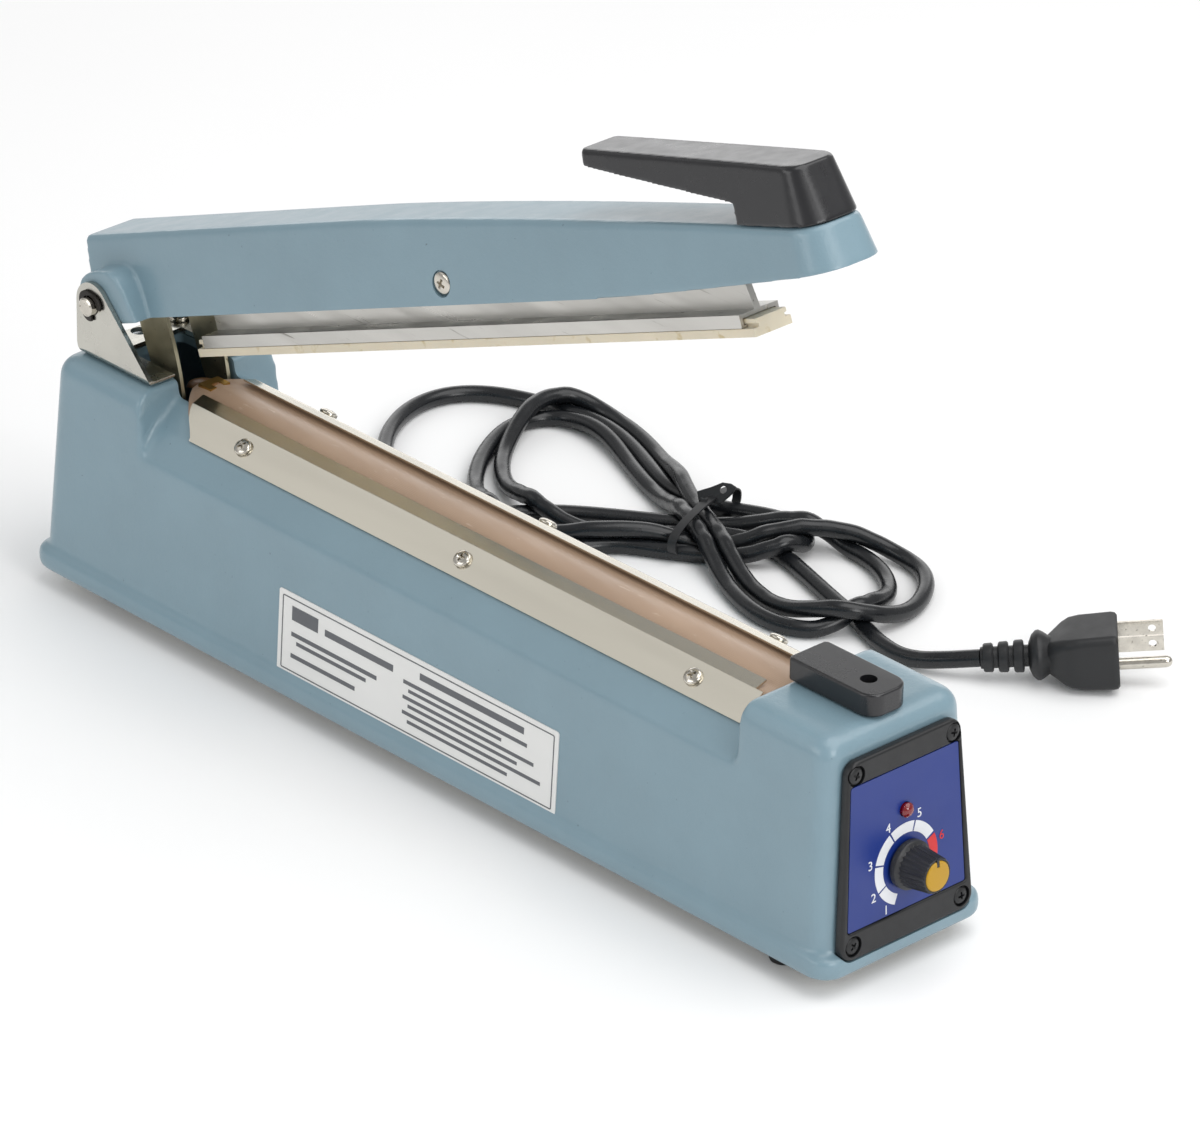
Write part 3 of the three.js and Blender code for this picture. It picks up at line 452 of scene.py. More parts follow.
def surface(name, color, roughness, metallic=0.0, tone=0.08, tone_scale=40, rough_spread=0.05,
            grain=(), stretch=(1, 1, 1), dirt=None, settings=()):
    """A finish whose tone and gloss vary, with bumps and, if wanted, (colour, scale, cover) of dirt."""
    material = bpy.data.materials.new(name)
    material.use_nodes = True
    tree = material.node_tree
    shader = tree.nodes["Principled BSDF"]
    patches = add_noise(tree, tone_scale, stretch)
    shades = [tuple(c * (1 + side * tone) for c in color) for side in (-1, 1)]
    tint = add_mix(tree, add_range(tree, patches, 0, 1), *shades)
    if dirt:
        dirt_color, dirt_scale, cover = dirt
        spots = add_noise(tree, dirt_scale, stretch, detail=6)
        tint = add_mix(tree, add_range(tree, spots, 0, 1, 1 - cover, 1.08 - cover), tint, dirt_color)
    tree.links.new(tint, shader.inputs["Base Color"])
    gloss = add_noise(tree, tone_scale * 3.1, stretch)
    span = (max(roughness - rough_spread, 0.02), roughness + rough_spread)
    tree.links.new(add_range(tree, gloss, *span), shader.inputs["Roughness"])
    shader.inputs["Metallic"].default_value = metallic
    for socket, value in settings:
        shader.inputs[socket].default_value = value
    add_bumps(tree, shader, grain, stretch)
    return material


PAINT = surface(
    "blue_grey_enamel", linear(120, 146, 158), 0.34, tone=0.035, tone_scale=30,
    grain=((420, 0.1), (1300, 0.05)), dirt=(linear(86, 106, 114), 520, 0.29),
    settings=(("Coat Weight", 0.35), ("Coat Roughness", 0.12)),
)
HANDLE_PLASTIC = surface(
    "handle_plastic", linear(25, 25, 28), 0.3, tone=0.08, grain=((260, 0.015), (2600, 0.004)),
    settings=(("Coat Weight", 0.2), ("Coat Roughness", 0.1)),
)
BLACK_PLASTIC = surface(
    "black_plastic", linear(17, 18, 20), 0.42, tone=0.1, tone_scale=90, grain=((1500, 0.02), (240, 0.02)),
)
KNOB_PLASTIC = surface("knob_plastic", linear(33, 34, 37), 0.42, tone=0.1, grain=((1800, 0.02),))
FOOT_RUBBER = surface("foot_rubber", linear(30, 30, 31), 0.75, grain=((1200, 0.03),))
CORD_PVC = surface(
    "cord_pvc", linear(21, 23, 26), 0.27, tone=0.12, tone_scale=70, grain=((700, 0.01), (160, 0.03)),
)
PLUG_PVC = surface("plug_pvc", linear(25, 26, 28), 0.45, tone=0.12, grain=((1600, 0.025), (250, 0.04)))
TIE_PLASTIC = surface("tie_plastic", linear(26, 27, 29), 0.5, grain=((900, 0.02),))
STAINLESS = surface(
    "stainless_sheet", linear(206, 201, 188), 0.2, 1.0, tone=0.03, tone_scale=25, rough_spread=0.05,
    grain=((30, 0.05), (900, 0.003)), stretch=(0.12, 1, 1), dirt=(linear(150, 142, 124), 300, 0.26),
)
ZINC = surface(
    "bright_zinc", linear(192, 190, 182), 0.24, 1.0, tone=0.06, rough_spread=0.08,
    grain=((240, 0.04), (1800, 0.006)), dirt=(linear(120, 110, 92), 420, 0.3),
)
YELLOW_ZINC = surface(
    "yellow_zinc", linear(182, 176, 152), 0.42, 1.0, tone=0.14, tone_scale=70, rough_spread=0.1,
    grain=((200, 0.04), (1500, 0.01)), dirt=(linear(96, 88, 68), 260, 0.36),
)
DARK_STEEL = surface("dark_steel", linear(62, 60, 58), 0.4, 1.0, tone=0.2, grain=((900, 0.02),))
SCREW_STEEL = surface(
    "screw_steel", linear(205, 200, 190), 0.2, 1.0, tone=0.1, tone_scale=300, grain=((700, 0.02),),
    dirt=(linear(110, 104, 92), 700, 0.36),
)
ALUMINIUM = surface(
    "extruded_aluminium", linear(200, 198, 193), 0.36, 1.0, tone=0.07, tone_scale=60, rough_spread=0.1,
    grain=((900, 0.012), (120, 0.02)), stretch=(0.06, 1, 1), dirt=(linear(120, 116, 108), 500, 0.34),
)
SILICONE = surface(
    "silicone", linear(216, 206, 184), 0.5, tone=0.05, tone_scale=50, grain=((600, 0.03),),
    dirt=(linear(196, 180, 142), 150, 0.38),
    settings=(("Subsurface Weight", 0.25), ("Subsurface Radius", (0.004, 0.003, 0.002))),
)
PHENOLIC = surface("phenolic", linear(120, 86, 58), 0.6, grain=((700, 0.03),), stretch=(0.1, 1, 1))
BRASS = surface("brass", linear(190, 152, 84), 0.35, 1.0, tone=0.12, grain=((500, 0.02),))
TAPE = surface(
    "polyimide_tape", linear(134, 92, 52), 0.34, tone=0.25, tone_scale=110, grain=((260, 0.1), (60, 0.2)),
    dirt=(linear(110, 80, 52), 200, 0.4),
)
PANEL_BLUE = surface("panel_blue", linear(20, 46, 122), 0.38, tone=0.03, grain=((1800, 0.006),))
PRINT_WHITE = surface("print_white", linear(222, 224, 228), 0.5, tone=0.02, grain=((1800, 0.004),))
PRINT_RED = surface("print_red", linear(205, 40, 42), 0.5, tone=0.03, grain=((1800, 0.004),))
PRINT_GREY = surface("print_grey", linear(96, 98, 102), 0.6, tone=0.05, grain=((1800, 0.004),))
LAMP_RED = surface(
    "lamp_red", linear(140, 12, 24), 0.12, tone=0.1, grain=((300, 0.02),),
    settings=(("Transmission Weight", 0.35), ("Coat Weight", 0.6)),
)
CAP_YELLOW = surface("cap_yellow", linear(180, 138, 12), 0.36, tone=0.04, grain=((1500, 0.01),))
LABEL_FILM = surface(
    "label_film", linear(224, 224, 222), 0.38, tone=0.02, grain=((90, 0.03), (1200, 0.004)),
)
LAMINATIONS = surface(
    "laminations", linear(100, 94, 88), 0.5, 0.6, grain=((1500, 0.05),), stretch=(0.1, 1, 1),
)
COPPER = surface(
    "enamelled_copper", linear(170, 96, 48), 0.4, 0.7, grain=((900, 0.1),), stretch=(1, 1, 0.1),
)
BOARD = surface("circuit_board", linear(44, 104, 56), 0.45, tone=0.15, tone_scale=200, grain=((500, 0.05),))


def weave_material():
    """Coated glass cloth: a fine square weave under a waxy brown coat with paler rubbed streaks."""
    material = surface(
        "ptfe_cloth", linear(172, 146, 124), 0.42, tone=0.08, tone_scale=45, rough_spread=0.08,
        stretch=(0.3, 1, 1), dirt=(linear(190, 168, 148), 420, 0.34),
    )
    tree = material.node_tree
    shader = tree.nodes["Principled BSDF"]
    place = tree.nodes.new("ShaderNodeTexCoord")
    normal = None
    for direction in ("X", "Y"):
        threads = tree.nodes.new("ShaderNodeTexWave")
        threads.bands_direction = direction
        threads.inputs["Scale"].default_value = 420
        threads.inputs["Distortion"].default_value = 0.6
        bump = tree.nodes.new("ShaderNodeBump")
        bump.inputs["Distance"].default_value = 0.02 * MM
        tree.links.new(place.outputs["Object"], threads.inputs["Vector"])
        tree.links.new(threads.outputs["Fac"], bump.inputs["Height"])
        if normal:
            tree.links.new(normal, bump.inputs["Normal"])
        normal = bump.outputs["Normal"]
    tree.links.new(normal, shader.inputs["Normal"])
    return material


CLOTH = weave_material()


# ---- mains cord -------------------------------------------------------------------------------

# The CAD's route, from the strain relief down to the table, through the bundle and to the plug.
FEED = [
    (60, 67.7, 28), (60, 76, 26.4), (58, 88, 20), (53, 99, 11.5), (46, 108, 5.6), (37, 117, 3.7),
    (24, 126, 3.6), (11, 137, 3.6), (0, 151, 3.6), (-8, 168, 3.6), (-11, 185, 3.6), (-5, 198, 3.6),
    (6, 206, 3.6), (16.5, 211.5, 3.6),
]
INTO_TIE = [
    (29, 215, 3.6), (43, 216, 3.6), (59, 215, 3.6), (80, 210, 3.6), (104, 203, 3.6), (126, 199, 3.6),
]
SMALL_LOOP = [
    (145, 201, 4), (153, 209, 4), (163, 217, 4), (174, 218, 4), (184, 213, 4), (192, 203, 4),
    (194, 192, 4), (188, 182, 5), (176, 174, 6), (162, 168, 6),
]
HIDDEN_LOOP = [
    (146, 161, 5), (134, 150, 4), (127, 136, 4), (126, 120, 3.6), (122, 104, 3.6), (114, 91, 3.6),
    (102, 85, 3.6), (90, 90, 3.6), (82, 102, 3.6), (81, 118, 4), (88, 133, 4), (99, 148, 5),
    (113, 160, 5), (127, 171, 6), (139, 180, 6),
]
RIGHT_LOOP_INNER = [
    (158, 196, 6), (171, 206, 5), (188, 214, 4), (204, 217, 4), (221, 215, 4), (238, 204, 4),
    (248, 190, 4), (253, 174, 4), (249, 160, 6), (236, 150, 8), (218, 149, 8), (191, 159, 10),
    (166, 171, 13),
]
LEFT_LOOP_INNER = [
    (148, 178, 15), (131, 186, 13), (111, 196, 10), (91, 206, 9), (68, 215, 9), (49, 218, 9),
    (37, 214, 9), (33, 203, 6), (34, 190, 4), (38, 175, 4), (46, 160, 4), (57, 146, 4), (70, 136, 4),
    (85, 127, 6), (102, 125, 9), (119, 131, 11), (134, 142, 11), (149, 156, 10),
]
RIGHT_LOOP_OUTER = [
    (163, 171, 9), (177, 189, 9), (190, 204, 9), (202, 215, 10), (213, 224, 8), (227, 229, 5),
    (241, 222, 4), (252, 208, 4), (258, 190, 5), (252, 172, 9), (239, 162, 14), (218, 160, 15),
    (190, 168, 15), (165, 180, 16),
]
LEFT_LOOP_OUTER = [
    (148, 186, 18), (132, 193, 17), (116, 201, 15), (97, 212, 15), (75, 222, 15), (52, 227, 13),
    (36, 221, 11), (29, 209, 8), (33, 192, 8), (43, 176, 9), (57, 161, 9), (75, 149, 9), (96, 142, 13),
    (114, 144, 16), (130, 154, 16), (143, 168, 14),
]
TO_PLUG = [
    (153, 182, 10), (165, 191, 8), (179, 193, 5), (196, 191, 4), (214, 185, 4), (233, 179, 4),
    (251, 173, 4), (268, 167.5, 3.6), (277, 166, 3.6), (288, 167.6, 4.6), (299, 173.2, 6.8),
    (310.3, 181.6, 9.1),
]
CORD_ROUTE = [
    *FEED, *INTO_TIE, *SMALL_LOOP, *HIDDEN_LOOP, *RIGHT_LOOP_INNER, *LEFT_LOOP_INNER, *RIGHT_LOOP_OUTER,
    *LEFT_LOOP_OUTER, *TO_PLUG,
]


def even_points(line, step):
    """The same line with points about step apart."""
    runs = np.linalg.norm(np.diff(line, axis=0), axis=1)
    along = np.concatenate([[0], np.cumsum(runs)])
    wanted = np.linspace(0, along[-1], int(along[-1] / step) + 1)
    return np.column_stack([np.interp(wanted, along, line[:, k]) for k in range(3)])


def bend_back(p, reach, share):
    """Pulls each point towards where its neighbours' smooth line would have it."""
    pull = np.zeros_like(p)
    near = p[reach:-3 * reach] + p[3 * reach:-reach]
    far = p[:-4 * reach] + p[4 * reach:]
    pull[2 * reach:-2 * reach] = (4 * near - far) / 6 - p[2 * reach:-2 * reach]
    return share * pull


def lay_cord(line):
    """Lets the cord settle: stiff, heavy, and resting on the table and on itself."""
    rounds = 500
    search_every = 12
    search_margin = 6
    neighbours = 8
    pinned_at_start, pinned_at_end = 10, 8
    hold_in_plan = 0.015
    drop = 0.06
    table_clearance = 0.05
    closest = 2 * CORD_RADIUS + 0.12

    p = line.copy()
    apart = np.triu(np.ones((len(p), len(p)), bool), neighbours)
    for turn in range(rounds):
        if turn % search_every == 0:
            far = np.linalg.norm(p[:, None, :] - p[None, :, :], axis=2)
            first, second = np.nonzero((far < closest + search_margin) & apart)
        p += bend_back(p, 1, 0.35)
        p += bend_back(p, 3, 0.4)
        p[:, :2] += hold_in_plan * (line[:, :2] - p[:, :2])
        p[:, 2] -= drop
        for _ in range(3):
            away = p[first] - p[second]
            size = np.maximum(np.linalg.norm(away, axis=1), 1e-6)[:, None]
            push = 0.25 * np.maximum(closest - size, 0) * away / size
            np.add.at(p, first, push)
            np.add.at(p, second, -push)
            p[:, 2] = np.maximum(p[:, 2], CORD_RADIUS + table_clearance)
        p[:pinned_at_start] = line[:pinned_at_start]
        p[-pinned_at_end:] = line[-pinned_at_end:]
    return p


def cord_line():
    spacing = 3.0
    line = even_points(smooth_line(CORD_ROUTE, 10), spacing)
    return smooth_line(lay_cord(line), 2)


def add_cord(line):
    curve = bpy.data.curves.new("power_cord", "CURVE")
    curve.dimensions = "3D"
    curve.bevel_depth = CORD_RADIUS * MM
    curve.bevel_resolution = 6
    curve.use_fill_caps = True
    spline = curve.splines.new("POLY")
    spline.points.add(len(line) - 1)
    for point, place in zip(spline.points, line):
        point.co = (*(TO_FRAME @ Vector(place)), 1)
    spline.use_smooth = True
    cord = bpy.data.objects.new("power_cord", curve)
    bpy.context.scene.collection.objects.link(cord)
    curve.materials.append(CORD_PVC)
    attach(cord, "base")
    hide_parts("cord_feed", "cord_lead", "cord_bundle")
    return cord


CORD_LINE = cord_line()
cord = add_cord(CORD_LINE)


# ---- pieces on the cord -----------------------------------------------------------------------

def rectangle(half_x, half_y, z):
    return [(-half_x, -half_y, z), (half_x, -half_y, z), (half_x, half_y, z), (-half_x, half_y, z)]


def cross_cutter(depth, width, reach):
    """Tool that cuts a tapered cross recess downwards from z = 0."""
    bars = []
    for turn in (0, math.pi / 2):
        floor = rectangle(reach * 0.35, width * 0.3, -depth)
        mouth = rectangle(reach, width / 2, 0.4)
        bars.append(move(loft("cross_cutter", [floor, mouth]), Matrix.Rotation(turn + 0.4, 4, "Z")))
    return join(*bars)


def pan_screw(name, radius, height, shank, length, turn=0.0, flat=False):
    """Cross-recess screw along +Z, seated at z = 0, with a domed or flat head."""
    rim = height * (0.8 if flat else 0.4)
    dome = [(radius, rim)]
    for i in range(1, 6):
        angle = math.radians(90 * i / 6)
        dome.append((radius * math.cos(angle), rim + (height - rim) * math.sin(angle)))
    edge = [(shank, 0), (radius * 0.97, 0), (radius, rim * 0.5)]
    profile = [(0, -length), (shank, -length), *edge, *dome, (0, height)]
    screw = turned(name, profile, "z", 40)
    cut(screw, shift(cross_cutter(height * 0.75, radius * 0.3, radius * 0.62), 0, 0, height))
    return move(screw, Matrix.Rotation(turn, 4, "Z"))


def add_plug():
    """Moulded three-pin plug, made along +X with its ground pin below, as it lies on the table."""
    ribs = [(0, -1.0), (4.2, -1.0), (4.4, 0)]
    for i in range(3):
        x = i * 6
        grow = i * 0.35
        ribs += [
            (5.2 + grow, x + 0.1), (5.7 + grow, x + 0.7), (5.8 + grow, x + 3.4), (5.3 + grow, x + 4),
            (4.3, x + 4.2), (4.3, x + 5.8),
        ]
    ribs += [
        (5.4, 18), (8.2, 19.2), (9.8, 20.8), (10, 22), (9.2, 23.6), (7.8, 25.6), (7.4, 28), (7.4, 36),
        (0, 36),
    ]
    relief = turned("plug_relief", ribs, "x", 40)

    def section(x, half, low, high, corner):
        """Rounded rectangle across the plug at x."""
        shape = []
        for start, cy, cz in (
            (0, half - corner, high - corner), (90, -half + corner, high - corner),
            (180, -half + corner, low + corner), (270, half - corner, low + corner),
        ):
            shape += arc(cy, cz, corner, start, start + 90, 6)
        return [(x, y, z) for y, z in shape]

    body = loft("plug_body", [section(*sizes) for sizes in (
        (24.5, 6.6, -6, 6, 4.5), (27, 8.2, -7.2, 7.6, 4.5), (31, 11.2, -9.2, 9.9, 4.2),
        (34, 12.6, -10.2, 10.9, 3.6), (38, 12.9, -10.8, 11.4, 3.2), (50.6, 13, -11.5, 12, 3.2),
        (52.2, 12.7, -11.3, 11.7, 3), (53, 11.8, -10.4, 10.8, 2.6),
    )])
    place = (
        Matrix.Translation((311, 182.3, 9.2)) @ Matrix.Rotation(math.radians(44.6), 4, "Z")
        @ Matrix.Rotation(-math.radians(5.4), 4, "Y")
    )
    moulding = join(relief, body)
    move(moulding, place)
    settle(moulding, PLUG_PVC, "cord_rubber", "base", ["plug"], smooth_angle=38)

    contacts = []
    for y in (-6.35, 6.35):
        blade = box("blade", (52, 70.8), (y - 0.75, y + 0.75), (3, 9.4))
        cut(blade, rod("hole", "y", 1.6, (y - 3, y + 3), 20, (66.4, 0, 6.2)))
        contacts.append(bevel(blade, 0.3, 2))
    pin_tip = arc(0, 71.4, 2.4, 15, 65, 2)
    pin = turned("ground_pin", [(0, 52), (2.4, 52), (2.4, 71), *pin_tip, (0, 73.8)], "x", 24)
    contacts.append(shift(pin, 0, 0, -5.7))
    for i, contact in enumerate(contacts):
        contact.name = f"plug_contact_{i + 1}"
        settle(move(contact, place), SCREW_STEEL, "zinc", "base")
    return [moulding, *contacts]


def add_strain_relief():
    """Tapered, banded relief that stands out of the far wall round the cord."""
    wall_y = wall_half(CORD_EXIT.z)
    tip_y = CORD_EXIT.y
    profile = [
        (0, wall_y - 6), (4.8, wall_y - 6), (4.8, wall_y + 0.5), (7.2, wall_y + 0.5),
        (7.6, wall_y + 1), (7.6, wall_y + 2.4), (7, wall_y + 3),
    ]
    bands = 6
    start, end = wall_y + 4.2, tip_y - 1
    step = (end - start) / bands
    for i in range(bands):
        y = start + (end - start) * i / bands
        radius = 6 - 1.7 * i / bands
        profile += [
            (radius - 0.9, y), (radius, y + 0.4), (radius - 0.15, y + step * 0.62),
            (radius - 1, y + step * 0.7),
        ]
    profile += [(4.3, end), (4.1, tip_y - 0.1), (3.4, tip_y), (0, tip_y)]
    relief = shift(turned("cord_relief", profile, "y", 40), CORD_EXIT.x, 0, CORD_EXIT.z)
    settle(relief, PLUG_PVC, "cord_rubber", "base", ["strain_relief"], smooth_angle=40)


def add_tie(line):
    """Flat tie pulled round the bundle, with its twisted tab on top."""
    centre = Vector((153, 183, 0))
    across = Vector((-0.4, 0.92, 0)).normalized()
    along = Vector((across.y, -across.x, 0))
    half_width, thickness, slack = 1.9, 1.1, 0.9
    from_centre = [Vector(p) - centre for p in line]
    held = [
        (p.dot(across), p.z) for p in from_centre if abs(p.dot(along)) < 3.5 and abs(p.dot(across)) < 34
    ]
    low = min(n for n, _ in held) - CORD_RADIUS
    high = max(n for n, _ in held) + CORD_RADIUS
    top = max(z for _, z in held) + CORD_RADIUS + 0.5
    middle, half = (low + high) / 2, (high - low) / 2 + slack
    ring = []
    for i in range(48):
        angle = 2 * math.pi * i / 48
        c, s = math.cos(angle), math.sin(angle)
        n = middle + half * math.copysign(abs(c) ** 0.75, c)
        z = slack + (top - 0.4) * (0.5 + 0.5 * math.copysign(abs(s) ** 0.8, s))
        ring.append((n, z))
    rings = []
    for n, z in ring + ring[:1]:
        outward = Vector((n - middle, 0, z - top / 2)).normalized()
        lean = 0.12 * (n - middle)
        corner = []
        for side, thick in (
            (-half_width, 0), (half_width, 0), (half_width, thickness), (-half_width, thickness),
        ):
            spot = centre + across * (n + outward.x * thick) + along * (side + lean)
            corner.append((spot.x, spot.y, max(z + outward.z * thick, 0.2)))
        rings.append(corner)
    band = loft("cord_tie_band", rings, closed_ends=False)
    bevel(band, 0.25, 2)

    tab_place = centre + across * (middle + half * 0.22)
    tab = prism("tie_tab", "y", [
        (-5, 0), (4.5, 0.5), (8.5, 5.5), (9.6, 8.4), (7, 9.4), (3.5, 9.2), (-1, 6.4), (-6.5, 3.6),
    ], (-0.8, 0.8))
    cut(tab, rod("hole", "y", 1.5, (-3, 3), 20, (4.4, 0, 6.4)))
    bevel(tab, 0.35, 2)
    turn = Matrix.Rotation(math.atan2(along.y, along.x), 4, "Z") @ Matrix.Rotation(-0.5, 4, "X")
    move(tab, Matrix.Translation((tab_place.x, tab_place.y, top - 1.6)) @ turn)
    tail = loft("tie_tail", [
        [(x - 1.4, y, z), (x + 1.4, y, z), (x + 1.4, y, z + 1), (x - 1.4, y, z + 1)]
        for x, y, z in smooth_line([(-1, -6, 0), (-2, 0, 0.8), (-4, 7, 2.6), (-3, 12, 5)], 5)
    ])
    move(tail, Matrix.Translation((tab_place.x, tab_place.y, top - 1.4)) @ turn)
    join(tab, tail)
    settle(band, TIE_PLASTIC, "tie_wire", "base", ["cord_tie"])
    tab.name = "cord_tie_tab"
    settle(tab, TIE_PLASTIC, "tie_wire", "base")
    return [band, tab]


# ---- base casting -----------------------------------------------------------------------------

def wall_half(z):
    """Half width of the base at a height."""
    rise = (WALL_HALF_LOW - WALL_HALF_CREASE) / (CREASE_Z - WALL_START_Z)
    return WALL_HALF_LOW - (z - WALL_START_Z) * rise


def wall_ring(z, inset, corner, steps):
    """The base's outline at a height, drawn in by inset."""
    x0 = REAR_WALL_X + (z - WALL_START_Z) * END_DRAFT + inset
    x1 = FRONT_WALL_X - (z - WALL_START_Z) * PANEL_LEAN - inset
    return [(x, y, z) for x, y in plan(x0, x1, wall_half(z) - inset, corner, steps)]


def housing_block(name, inset, bottom, top, edge, turns, steps):
    """The base's whole block with its top edge rounded, drawn in by inset."""
    rings = [wall_ring(bottom, inset, WALL_CORNER - inset / 2, steps)]
    for i in range(turns + 1):
        angle = math.radians(90 * i / turns)
        fold = edge * (1 - math.cos(angle))
        corner = max(WALL_CORNER - inset / 2 - fold * 0.9, 0.6)
        rings.append(wall_ring(top - edge + edge * math.sin(angle), inset + fold, corner, steps))
    return loft(name, rings)


def above_shoulders(drop, margin, ease):
    """What is cut away between the housings. ease rounds its edges, which leaves fillets."""
    span = prism("above_shoulders", "y", [
        (MIDDLE_REAR_X + 0.4 - margin, 66), (MIDDLE_FRONT_X + margin, 66),
        (MIDDLE_FRONT_X + margin, 120), (MIDDLE_REAR_TOP_X - 3.4 - margin, 120),
    ], (-60, 60))
    slope = [(y - drop * 0.7, z - drop) for y, z in (
        (44, 66.4), (PLATE_LOW[0] - 0.1, PLATE_LOW[1] - 1.3), (PLATE_BEND[0] + 0.2, RIDGE_Z + 0.2),
        (PLATE_BEND[0] - 1, RIDGE_Z),
    )]
    shoulders = prism("shoulders", "x", [(-44, 40), (44, 40), *slope, *mirrored(slope)], (20, 430))
    cut(span, shoulders)
    return bevel(span, ease, 5, 40) if ease else span


def onto_panel():
    """From the panel's own axes to the working frame."""
    return Matrix.Translation(PANEL_ORIGIN) @ Matrix.Rotation(-PANEL_LEAN, 4, "Y")


def add_body_casting():
    fold = 2.2

    def flange_ring(inset, z):
        return [(x, y, z) for x, y in plan(inset, BASE_LENGTH - inset, FLANGE_HALF - inset, 9)]

    flange = loft("flange", [
        flange_ring(1, FOOT_HEIGHT), flange_ring(0, FOOT_HEIGHT + 1.5), flange_ring(0, FLANGE_TOP - fold),
        flange_ring(0.7, FLANGE_TOP - 0.6), flange_ring(fold, FLANGE_TOP),
    ])
    walls = housing_block("body_shell", 0, WALL_START_Z - 2, HOUSING_TOP, HOUSING_EDGE, 9, 10)
    cut(walls, above_shoulders(0, 0, 5.5))
    shell = soften(join(walls, flange), 1.15, 9)

    hollow = housing_block("hollow", CASTING_WALL, 4, HOUSING_TOP - CASTING_WALL, HOUSING_EDGE - 3, 3, 4)
    cut(hollow, above_shoulders(CASTING_WALL * 1.6, CASTING_WALL, 0))
    cut(hollow, box("bed_block", (BED_X[0] - 4, BED_X[1] + 4), (-12, 12), (84.5, 93)))
    seat_outline = trapezoid(-2 - GAP, 79, 34 + GAP, 29.2 + GAP, 6)
    seat = prism("bezel_seat", "x", seat_outline, (-BEZEL_THICK - 0.25, 6))
    cut(
        shell, hollow,
        prism("recess", "z", plan(4.5, BASE_LENGTH - 4.5, FLANGE_HALF - 4, 6), (0, FOOT_HEIGHT + 2.6)),
        box("bed_slot", (BED_X[0] - GAP, BED_X[1] + GAP), (-BED_HALF - GAP, BED_HALF + GAP), (88, 110)),
        prism("linkage_well", "z", plan(27, BED_X[0], 14.5, 2.5, 4), (84, 120)),
        box("terminal_well", (BED_X[1], 412), (-6.5, 6.5), (88, 120)),
        box("panel_window", (425, 460), (-22, 22), (27, 76)),
        rod("cord_hole", "y", 5.2, (20, 60), place=(CORD_EXIT.x, 0, CORD_EXIT.z)),
        move(seat, onto_panel()),
    )
    settle(shell, PAINT, "paint", "base", ["body_casting"], smooth_angle=40)


def add_feet():
    sole = [(0, 0.6), (2.3, 0.6), (2.6, 0), (4.8, 0), (5.4, 0.35), (5.7, 1)]
    profile = [*sole, (6.5, FOOT_TOP - 1), (6.6, FOOT_TOP), (0, FOOT_TOP)]
    for end, x, half in (("rear", 34, 25.5), ("front", 415, 28.5)):
        for side, y in (("near", -half), ("far", half)):
            foot = shift(turned(f"rubber_foot_{end}_{side}", profile, "z", 40), x, y, 0)
            settle(foot, FOOT_RUBBER, "black_rubber", "base", [f"foot_{end}_{side}"])


# ---- sealing bed ------------------------------------------------------------------------------

def on_plate(obj, x, side):
    """Puts a piece made along +Z half way up a side plate, square to it."""
    y = (PLATE_LOW[0] + PLATE_BEND[0]) / 2
    z = (PLATE_LOW[1] + PLATE_BEND[1]) / 2
    return move(obj, Matrix.Translation((x, side * y, z)) @ Matrix.Rotation(-side * PLATE_LEAN, 4, "X"))


def add_side_plate(name, side):
    """Bent steel strip, a little uneven along its length, with its lip cut back at both ends."""
    outward = (math.sin(PLATE_LEAN), math.cos(PLATE_LEAN))
    bend_start = 98 - math.degrees(PLATE_LEAN)

    def outline(x):
        swell = 0.09 * math.sin(x * 0.041 + side) + 0.05 * math.sin(x * 0.113)
        face = [(PLATE_LOW[0] + outward[0] * swell * 0.3, PLATE_LOW[1] + outward[1] * swell * 0.3)]
        face += arc(PLATE_BEND[0] + 0.35, PLATE_BEND[1] - 1 + swell * 0.5, 1, bend_start, 92, 4)
        face += [(PLATE_LIP[0], PLATE_LIP[1] + swell * 0.5)]
        inner = [
            (PLATE_LIP[0], PLATE_LIP[1] - PLATE_THICK + swell * 0.5),
            (PLATE_BEND[0] - 0.2, PLATE_BEND[1] - PLATE_THICK),
            (PLATE_LOW[0] - PLATE_THICK * outward[0], PLATE_LOW[1] - PLATE_THICK * outward[1]),
        ]
        return [(x, side * y, z) for y, z in face + inner]

    steps = 60
    x0, x1 = PLATE_X
    plate = loft(name, [outline(x0 + (x1 - x0) * i / steps) for i in range(steps + 1)])
    low, high = sorted((side * 2, side * (PLATE_BEND[0] + 0.6)))
    corner = [
        (50, 80), (81.6, 80), (81.3, 86), (80, 88), (77, 89.8), (73, 92), (70.8, 93.8), (69.8, 95.2),
        (69.2, 97), (69, 100), (50, 100),
    ]
    cut(
        plate, prism("rear_corner", "y", corner, (-60, 60)),
        box("front_notch", (x1 - 4, x1 + 5), (low, high), (90, 100)),
    )
    for x in PLATE_SCREWS_X:
        cut(plate, on_plate(rod("screw_hole", "z", 2.1, (-4, 4), 24), x, side))
    return plate


def add_side_plates():
    for name, side in (("near", -1), ("far", 1)):
        plate = add_side_plate(f"clamp_plate_{name}", side)
        settle(plate, STAINLESS, "stainless", "base", [f"side_plate_{name}"], smooth_angle=24)
        for i, x in enumerate(PLATE_SCREWS_X):
            screw = pan_screw(f"plate_screw_{name}_{i + 1}", 3.7, 2.2, 1.6, 6, turn=i * 0.7 + side)
            on_plate(shift(screw, 0, 0, GAP), x, side)
            settle(screw, SCREW_STEEL, "stainless", "base", [f"side_plate_screw_{name}_{i + 1}"])


